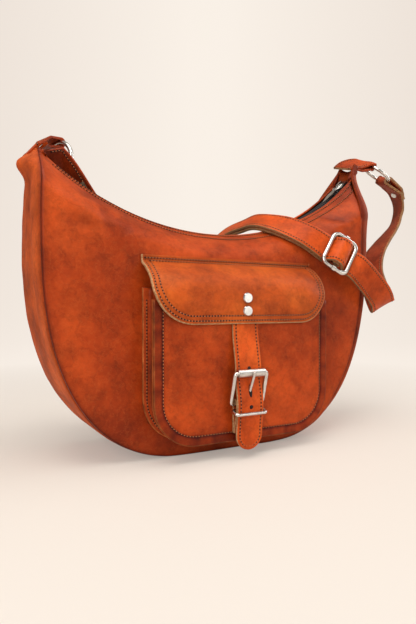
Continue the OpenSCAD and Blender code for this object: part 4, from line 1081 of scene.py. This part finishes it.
# painted shade along the pinched stitch row, and real wear with stripes on the rim
wear_and_seam_shade = 0.5 * bell(inset_of, POCKET_RIM, 1.4) + (0.6 + stripes) * (inset_of < POCKET_RIM)
rounded_plate("pocket_front_leather", outer, inner, [pocket_leather, worn_rim], "bag",
              ["pocket_front"], np.clip(wear_and_seam_shade, 0, 1))
row = outer[insets.index(STITCH_ROW)]
sew("pocket_front_stitches", [(row, FORWARD + 0 * row)], "bag")
print("pocket front:", outer.shape)

# %% [markdown]
# ## Pocket gusset
# The pocket's side wall is one strip with a flange to the front and one to the bag. Its profile is
# swept along the same U as the front, which keeps the sewn edges together.

# %% Pocket gusset
back_y, front_y = HALF_D + SEAM, POCKET_FRONT - POCKET_T - SEAM
middle_y = 0.5 * (back_y + front_y)
T = POCKET_T
RAISED_BACK = 11
profile = [(0.1, back_y), (0.1, back_y + T * 0.8), (0.8, back_y + T), (5.0, back_y + T),
           (6.6, back_y + T + 0.8), (7.4, back_y + T + 2.4), (7.7, back_y + 8), (7.2, middle_y),
           (7.7, front_y - 8), (7.4, front_y - T - 2.4), (6.6, front_y - T - 0.8), (5.0, front_y - T),
           (0.8, front_y - T), (0.1, front_y - T * 0.8), (0.1, front_y),
           (8.6, front_y), (9.8, front_y - 1.6), (9.9, front_y - 8), (9.4, middle_y),
           (9.9, back_y + 8), (9.8, back_y + 1.6), (8.6, back_y)]
rings = np.array([u_line(k, POCKET_HALF, POCKET_LOW,
                         POCKET_TOP - SEAM + RAISED_BACK * (front_y - y) / (front_y - back_y),
                         POCKET_CORNER) for k, y in profile])
grid = columns(rings[..., 0] + POCKET_X, -np.array([y for _, y in profile])[:, None], rings[..., 1])
wall = np.array([1.0 if 7 < k else 0.25 for k, _ in profile])[:, None]
sag = 0.9 * slow_noise(grid, 21, 9.4) * wall
toward = columns(grid[..., 0] - POCKET_X, 0, np.minimum(grid[..., 2] - 80, 0))
grid += unit(toward) * sag[..., None]
# painted shade on the pocket gusset: darkest on its folds and inner face, less on the wall, least on the
# flanges
tone = np.array([0.2, 0.1, 0, 0, 0.5, 0.6, 0.4, 0.3, 0.4, 0.6, 0.5, 0.1, 0, 0.1, 0.3] + [0.6] * 7)
skin("pocket_gusset_leather", [grid], [pocket_leather, worn_rim], "pocket_gusset",
     [1 if k in (0, 1, 12, 13) else 0 for k in range(len(profile))],
     [tone[:, None] + 0 * grid[..., 0]], "ngon")
line = u_line(3.4, POCKET_HALF, POCKET_LOW, POCKET_TOP - SEAM, POCKET_CORNER)
path = columns(line[:, 0] + POCKET_X, -back_y - T, line[:, 1])
sew("pocket_gusset_stitches", [(path, FORWARD + 0 * path)], "bag")
print("pocket gusset:", grid.shape)

# %% [markdown]
# ## Flap
# The flap is one piece of leather. It is sewn to the bag along its upper edge and bends there, and
# it is one mesh. Its fall over the pocket is drawn once in side view, and each point of the flat
# cut is laid on that curve, as the real leather is.

# %% Flap
FLAP_HALF, FLAP_LOW, FLAP_TOP, FLAP_CORNER, FLAP_T = 88.0, 114.0, 173.0, 34.0, 2.5
FLAP_BACK, FLAP_DEPTH = HALF_D + SEAM, POCKET_D + 2.5 + 0.9
FLAP_H = FLAP_TOP - FLAP_LOW
FLAP_MID = FLAP_BACK + FLAP_T / 2
FLAP_SEAMS = (3.0, 7.0)
flap_line = smooth([(FLAP_MID + FLAP_DEPTH * y, FLAP_LOW + FLAP_H * z) for y, z in
                    zip((0, 0.1, 0.3, 0.68, 0.9, 0.985, 1), (0.89, 0.85, 0.8, 0.66, 0.5, 0.34, 0))], 6)
flap_line = np.concatenate([[(FLAP_MID, FLAP_TOP), (FLAP_MID, FLAP_TOP - 3)], flap_line])
gone = np.gradient(flap_line, axis=0)
flap_out = unit(columns(-gone[:, 1], gone[:, 0]))


def on_flap(x, z, deep):
    """A point of the flap at a place of the front view, deep below its outer face."""
    order = np.argsort(flap_line[:, 1])
    y, ny, nz = (np.interp(z, flap_line[order, 1], row[order])
                 for row in (flap_line[:, 0], flap_out[:, 0], flap_out[:, 1]))
    n = unit(columns(0, -ny, nz))
    return columns(x + POCKET_X, -y, z) + (FLAP_T / 2 - deep)[..., None] * n, n


def askew(line):
    """The flap as cut by hand: a little narrower on the right, its top edge a little uneven."""
    x, z = line[..., 0], line[..., 1]
    near_top = ease((z - FLAP_TOP + 30) / 30)
    return columns(x * (1 - 0.03 * ease(x / 60)), z - near_top * (2.2 + 0.9 * x / FLAP_HALF))


def sag_of(x, z):
    return ease((np.abs(x) - 60) / 28) * (2.75 + 0.75 * np.sign(x)) * ease((FLAP_TOP - 10 - z) / 20)


def flap_u(inset):
    return askew(u_line(inset, FLAP_HALF, FLAP_LOW, FLAP_TOP, FLAP_CORNER, 30))


insets = [0, 0.4, 1.0, 2.0, 3.2, 4.6, 6.0, 7.2, 8.6, 11, 14, 18, 23, 29, 33.5, 40, 48, 57, 67, 78, 87.9]
lines = np.array([flap_u(k) for k in insets])
inset_of = np.array(insets)[:, None] + 0 * lines[..., 0]
x, z = lines[..., 0], lines[..., 1]
rounding = 0.7 * np.clip(1 - inset_of / 1.0, 0, 1)**2
press = sum(0.3 * bell(inset_of, seam, 0.8) for seam in FLAP_SEAMS)
wave = 0.9 * slow_noise(columns(x, 0, z), 30, 4.4)
wave = wave * ease((FLAP_TOP - 8 - z) / 20) * ease((inset_of - 6) / 12)
droop = sag_of(x, z)
outer = on_flap(x, z, rounding + press + wave * 0.6 + droop)[0]
inner = on_flap(x, z, FLAP_T - 0.3 * rounding + 0 * x + droop)[0]
# painted shade along the pressed seams and in a band at the top, where the flap meets the bag
flap_shade = sum(0.3 * bell(inset_of, seam, 1.4) for seam in FLAP_SEAMS)
flap_shade += 0.12 * ease((z - FLAP_TOP + 14) / 8) * ease((FLAP_TOP - z) / 3)
flap = rounded_plate("flap_leather_piece", outer, inner, [flap_leather, raw_edge], None,
                     ["pocket_flap", "flap_edge"], flap_shade)
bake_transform(flap)


def flap_seam(inset, top):
    line = flap_u(inset)
    line = line[line[:, 1] < top]
    return on_flap(line[:, 0], line[:, 1], 0.28 + sag_of(line[:, 0], line[:, 1]))


def top_seam(x, below):
    line = askew(columns(x, FLAP_TOP - below))
    return on_flap(line[:, 0], line[:, 1], 0 * x - 0.15)


sew("flap_stitches", [flap_seam(inset, 164) for inset in FLAP_SEAMS], "flap")
xs = np.linspace(-FLAP_HALF + 3, FLAP_HALF - 3, 40)
sew("flap_edge_stitches", [top_seam(xs, 2.6), top_seam(xs[1:-1], 6.2)], "bag")
print("flap:", outer.shape)

# %% [markdown]
# ## Closure strap and chape
# The closure strap hangs from under the flap, through the buckle and the keeper. It is stitched
# near its edges and punched with three holes. Its route in side view passes behind the roller and
# over the bar, and the rows get closer at the round tip.

# %% Closure strap
CLOSURE_X, CLOSURE_W, CLOSURE_T, TIP_Z = -1.0, 25.4, 2.5, 8.0
WIRE, BAR_Z, PITCH, ROLLER_D = 3.6, 47.0, 27.0, 6.6
CHAPE_IN = WIRE / 2 + 0.08
BAR_DEPTH = POCKET_FRONT + POCKET_T + 0.3 + CHAPE_IN
CHAPE_FRONT = BAR_DEPTH + CHAPE_IN + POCKET_T
STRAP_UNDER = CHAPE_FRONT + 0.3
ROLLER_RISE = PITCH * 0.965
ROLLER_DEPTH = BAR_DEPTH + math.sqrt(PITCH**2 - ROLLER_RISE**2)
ROLLER_Z = BAR_Z + ROLLER_RISE
RIVETS = (FLAP_LOW + 11, FLAP_LOW + 22)
behind_flap = FLAP_BACK + FLAP_DEPTH - 0.3 - CLOSURE_T
behind_roller = ROLLER_DEPTH - ROLLER_D / 2 - 0.3 - CLOSURE_T
closure_line = smooth([
    (behind_flap - 3.36, RIVETS[1] + 8), (behind_flap - 0.88, RIVETS[1]), (behind_flap, RIVETS[0]),
    (behind_flap, FLAP_LOW - 8), (behind_roller, ROLLER_Z + ROLLER_D),
    (behind_roller, ROLLER_Z - ROLLER_D / 2), (STRAP_UNDER, BAR_Z + WIRE),
    (STRAP_UNDER, BAR_Z - 2 * WIRE), (STRAP_UNDER - CLOSURE_T / 2, BAR_Z - 5 * WIRE),
    (STRAP_UNDER - CLOSURE_T, TIP_Z)], 12)
way = unit(np.gradient(closure_line, axis=0))
closure_n = columns(0, way[:, 1], way[:, 0])
closure_n = unit(closure_n * np.sign(-closure_n[:, 1:2]))
order = np.argsort(closure_line[:, 1])


def closure_half(z, inset=0.0):
    r = CLOSURE_W / 2 - inset
    low = TIP_Z + CLOSURE_W / 2 - z
    return np.where(low > 0, np.sqrt(np.maximum(r * r - np.maximum(low, 0)**2, 0.0)), r)


def on_closure(x, z, deep):
    """A point of the closure strap, deep below its outer face."""
    y, *n = (np.interp(z, closure_line[order, 1], row[order])
             for row in (closure_line[:, 0], *closure_n.T))
    n = unit(columns(*n))
    return columns(x + CLOSURE_X, -y, z) + (CLOSURE_T - deep)[..., None] * n, n


tip_rows = TIP_Z + CLOSURE_W / 2 * (1 - np.sin(np.linspace(0, math.pi / 2, 14)))
body_rows = closure_line[closure_line[:, 1] > TIP_Z + CLOSURE_W / 2 + 1, 1]
zs = np.concatenate([body_rows, tip_rows])
across = np.array([-1, -0.975, -0.93, -0.8, -0.55, -0.3, 0, 0.3, 0.55, 0.8, 0.93, 0.975, 1])
half = closure_half(zs)[:, None]
x = across[None] * np.maximum(half, 0.05)
z = zs[:, None] + 0 * x
edge_d = half - np.abs(x)
soft = 0.55 * np.clip(1 - edge_d / 0.7, 0, 1)**2
front = on_closure(x, z, soft + 0.25 * bell(edge_d, 3, 0.7) - 0.25 * ease(edge_d / 6))[0]
rear = on_closure(x, z, CLOSURE_T - soft)[0]
face = len(across) - 3
tube("closure_strap_leather", np.concatenate([front, rear[:, ::-1]], 1),
     [strap_leather, flesh_side, raw_edge], "flap", ["closure_strap"],
     [2] + [0] * face + [2, 2, 2] + [1] * face + [2, 2], 2)
print("closure strap:", len(zs), "rows")

# %% [markdown]
# ## Holes and stitches of the closure strap
# A boolean could punch the holes. Dark sunk discs, painted with the shade inside a hole, look the
# same from a step away and leave the strap's mesh clean. The middle hole is drawn longer, as the
# tongue has pulled it.

# %% Holes and stitches of the closure strap
PRONG_Z = BAR_Z + PITCH / 2
HOLES = ((PRONG_Z - 16, 1.0), (BAR_Z + 0.385 * PITCH, 3.2), (PRONG_Z + 16, 1.0))
points, faces = [], []
for z0, stretch in HOLES:
    p, n = (rows[0] for rows in on_closure(np.array([0.0]), np.array([z0]), np.array([0.0])))
    long_way = stretch * np.array([0, n[2], -n[1]])
    add_stub(points, faces, [[
        p + n * (rise + 0.25) + size * (math.sin(a) * long_way + math.cos(a) * np.array([1, 0, 0]))
        for a in circle(16)] for rise, size in ((-1.4, 1.3), (-0.1, 1.6), (0.06, 1.75))])
make_piece("closure_holes", points, faces, [needle_hole_shade], "flap")
EDGE_SEAM = 2.8
stitch_z = zs[zs > TIP_Z + EDGE_SEAM]
left, right = (on_closure(side * closure_half(stitch_z, EDGE_SEAM), stitch_z, 0.0 * stitch_z)
               for side in (-1, 1))
sew("closure_stitches", [[np.concatenate([a, b[::-1]]) for a, b in zip(left, right)]],
    "flap", STRAP_PITCH)
print("holes:", len(HOLES))

# %% [markdown]
# ## Chape
# The chape holds the buckle: a strip sewn to the pocket that goes up, round the bar and down again.
# It is a strap through stations, like the others.

# %% Chape behind the closure strap
low_z, sewn_y = 22.0, POCKET_FRONT + 0.3 + T / 2
mid = [(sewn_y, z) for z in (low_z, 30, 40, BAR_Z)]
for k in range(1, 9):
    a = math.pi * k / 8
    mid.append((BAR_DEPTH - (CHAPE_IN + T / 2) * math.cos(a), BAR_Z + (CHAPE_IN + T / 2) * math.sin(a)))
mid += [(CHAPE_FRONT - T / 2, BAR_Z - 7.6), (CHAPE_FRONT - T / 2 - 1.6, BAR_Z - 12),
        (sewn_y + T + 0.6, BAR_Z - 18), (sewn_y + T, low_z + 4), (sewn_y + T, low_z)]
rows = [(np.array([CLOSURE_X, -y, z]), (1, 0, 0)) for y, z in mid]
strap_piece("buckle_chape_leather", flat_sections(rows, 3), 24.0, T,
            [pocket_leather, pocket_leather, raw_edge], "bag", ["buckle_chape"])
print("chape:", len(rows), "stations")

# %% [markdown]
# ## Metal
# The rings, buckle, keeper, adjuster, rivets and zip slider keep the shapes of the construction
# model, because their size has to be right for the joints. They only get a finish here: the
# roller is brushed, the rest is bright nickel.

# %% Metal nodes
metal_nodes = ["zip_stops", "zip_slider", "zip_link", "zip_puller", "flap_rivets", "buckle_frame",
               "buckle_roller", "buckle_tongue", "strap_keeper", "ring_left", "ring_right",
               "strap_rivet", "adjuster_frame", "adjuster_bar"]
for name in metal_nodes:
    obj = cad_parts[name]
    finish = brushed if name == "buckle_roller" else nickel
    for slot_of in obj.material_slots:
        slot_of.material = finish
    if not obj.material_slots:
        obj.data.materials.append(finish)
print("metal nodes:", len(metal_nodes))

# %% [markdown]
# ## Lip seams
# Two rows run along the front lip and one along the back lip, where its inner face shows too. The
# panels' own grids give the path, so a seam stays at its distance from the rolled edge.

# %% Seams along the mouth
LIP_START = 8


def lip_path(grid, normals, from_lip, inset):
    out, nor = [], []
    for c in range(LIP_START, COLUMNS - LIP_START):
        order = np.argsort(from_lip[:, c])
        for made, rows in ((out, grid), (nor, normals)):
            made.append([np.interp(inset, from_lip[order, c], rows[order, c, k]) for k in range(3)])
    return np.array(out) + 0.3 * unit(nor), unit(nor)


front_n, back_n = outward_normals(front_grid, -1), outward_normals(back_grid, 1)
for label, grid, n, from_lip, insets in (
        ("front_lip", front_grid, front_n, front_from_lip, (2.8, 6.8)),
        ("back_lip", back_grid, back_n, back_from_lip, (3.2,)),
        ("back_lip_inner", back_grid - LEATHER * back_n, -back_n, back_from_lip, (3.2,))):
    sew(label + "_stitches", [lip_path(grid, n, from_lip, inset) for inset in insets], "bag")

# %% [markdown]
# ## Studio
# The photo has a pale sweep under and behind the bag. A plain lit floor would turn orange near the
# leather, so the cloth glows by itself away from the bag and is lit only near it, where it keeps
# the soft shadow.

# %% Sweep
YAW, PITCH_DOWN = math.radians(28), math.radians(0.9)
view_dir = np.array([math.sin(YAW), math.cos(YAW), 0.0])
view_side = np.array([math.cos(YAW), -math.sin(YAW), 0.0])
SWEEP_HALF, SWEEP_FLAT, SWEEP_BEND, SWEEP_TOP = 3.5, 1.2, 1.0, 3.2
CLOTH_GREY = 0.74


def backdrop_finish():
    """A pale cloth that glows by itself away from the bag, so that only the shadow is real light."""
    f = Finish("pale_sweep")
    across = f.add("VectorMath", {0: f.place, 1: tuple(view_side)}, operation="DOT_PRODUCT")
    across = f.spread(f.calc("ABSOLUTE", across.outputs["Value"]), 0.1, 1.3, 0.0, 1.0)
    # the glow is painted darker towards both sides, a painted falloff of the light
    tone = f.ramp(across, [(0.0, srgb("#fdf4ea")), (1.0, srgb("#efe4da"))])
    cloth = f.add("BsdfDiffuse", {"Color": f.mix(1.0, tone, grey(CLOTH_GREY), "MULTIPLY")})
    glow = f.add("Emission", {"Color": tone, "Strength": 1.0})
    away = f.add("VectorMath", {0: f.place}, operation="LENGTH").outputs["Value"]
    share = f.calc("MULTIPLY", seen_directly(f.tree), f.spread(away, 0.18, 0.75, 0.3, 0.95))
    return f.surface({0: share, 1: cloth.outputs[0], 2: glow.outputs[0]}, "MixShader")


sweep_profile = [(-3.0, 0.0), (0.0, 0.0), (SWEEP_FLAT, 0.0)]
sweep_profile += [(SWEEP_FLAT + SWEEP_BEND * math.sin(a), SWEEP_BEND - SWEEP_BEND * math.cos(a))
                  for a in np.linspace(0.1, math.pi / 2, 12)]
sweep_profile += [(SWEEP_FLAT + SWEEP_BEND, SWEEP_TOP)]
verts = [tuple(view_dir * d + view_side * s + UP * h)
         for d, h in sweep_profile for s in (-SWEEP_HALF, SWEEP_HALF)]
mesh = bpy.data.meshes.new("sweep")
mesh.from_pydata(verts, [], [[2 * i, 2 * i + 1, 2 * i + 3, 2 * i + 2]
                             for i in range(len(sweep_profile) - 1)])
mesh.polygons.foreach_set("use_smooth", [True] * len(mesh.polygons))
mesh.materials.append(backdrop_finish())
sweep = in_scene("sweep", mesh)
print("sweep:", len(verts), "points")

# %% [markdown]
# ## Lights and surround
# One large soft light stands above, weaker ones to the left and right in front, and one at the
# right edge. Small lamps would give hard glints on wire and leather. The surround lights the bag
# less than it shows itself, so the backdrop is bright and the leather keeps its depth.

# %% Lights and surround
def soft_light(name, where, target, size, power, tint):
    lamp = bpy.data.lights.new(name, "AREA")
    lamp.shape = "RECTANGLE"
    lamp.size, lamp.size_y = size
    lamp.energy = power
    lamp.color = srgb(tint)[:3]
    obj = in_scene(name, lamp)
    obj.location = where
    obj.rotation_euler = (Vector(target) - Vector(where)).to_track_quat("-Z", "Y").to_euler()


WARM, PALE = "#fffaf4", "#fbf2e9"
AMBIENT, BACKGROUND = 0.42, 1.0
soft_light("overhead", (-0.15, -0.35, 1.25), (0, 0, 0.1), (1.1, 0.9), 12.0, WARM)
soft_light("left_front", (-1.1, -1.0, 0.75), (0, 0, 0.12), (0.7, 0.9), 10.0, WARM)
soft_light("front_right_panel", (0.9, -1.7, 0.5), (0, 0, 0.12), (0.9, 0.9), 4.0, WARM)
soft_light("right_rim", (1.0, -0.1, 0.7), (0, 0, 0.15), (0.4, 0.8), 3.5, "#ffffff")

world = bpy.data.worlds.new("studio")
bpy.context.scene.world = world
world.use_nodes = True
tree = world.node_tree
tree.nodes.clear()
ambient, bright = (add(tree, "Background", {"Color": srgb(PALE), "Strength": strength}).outputs[0]
                   for strength in (AMBIENT, BACKGROUND))
blend = add(tree, "MixShader", {0: seen_directly(tree), 1: ambient, 2: bright})
add(tree, "OutputWorld", {0: blend.outputs[0]})
print("lights:", len(bpy.data.lights))

# %% [markdown]
# ## Camera
# The camera stands where the photographer stood: 28 degrees round to the left and almost level.
# Its lens comes from the focal length that was fitted to the photo, in pixels.

# %% Camera
FOCAL_PX, PHOTO_H_PX, SENSOR_MM = 522, 624, 36
CAMERA_AT = (-0.238, -0.451, 0.131)
camera_data = bpy.data.cameras.new("camera")
camera_data.sensor_width = SENSOR_MM
camera_data.lens = FOCAL_PX / PHOTO_H_PX * SENSOR_MM
camera = in_scene("camera", camera_data)
camera.location = CAMERA_AT
camera.rotation_euler = (math.radians(90) - PITCH_DOWN, 0, -YAW)
bpy.context.scene.camera = camera
bpy.context.scene.view_settings.view_transform = "Standard"
print("camera lens:", round(camera_data.lens, 1), "mm")
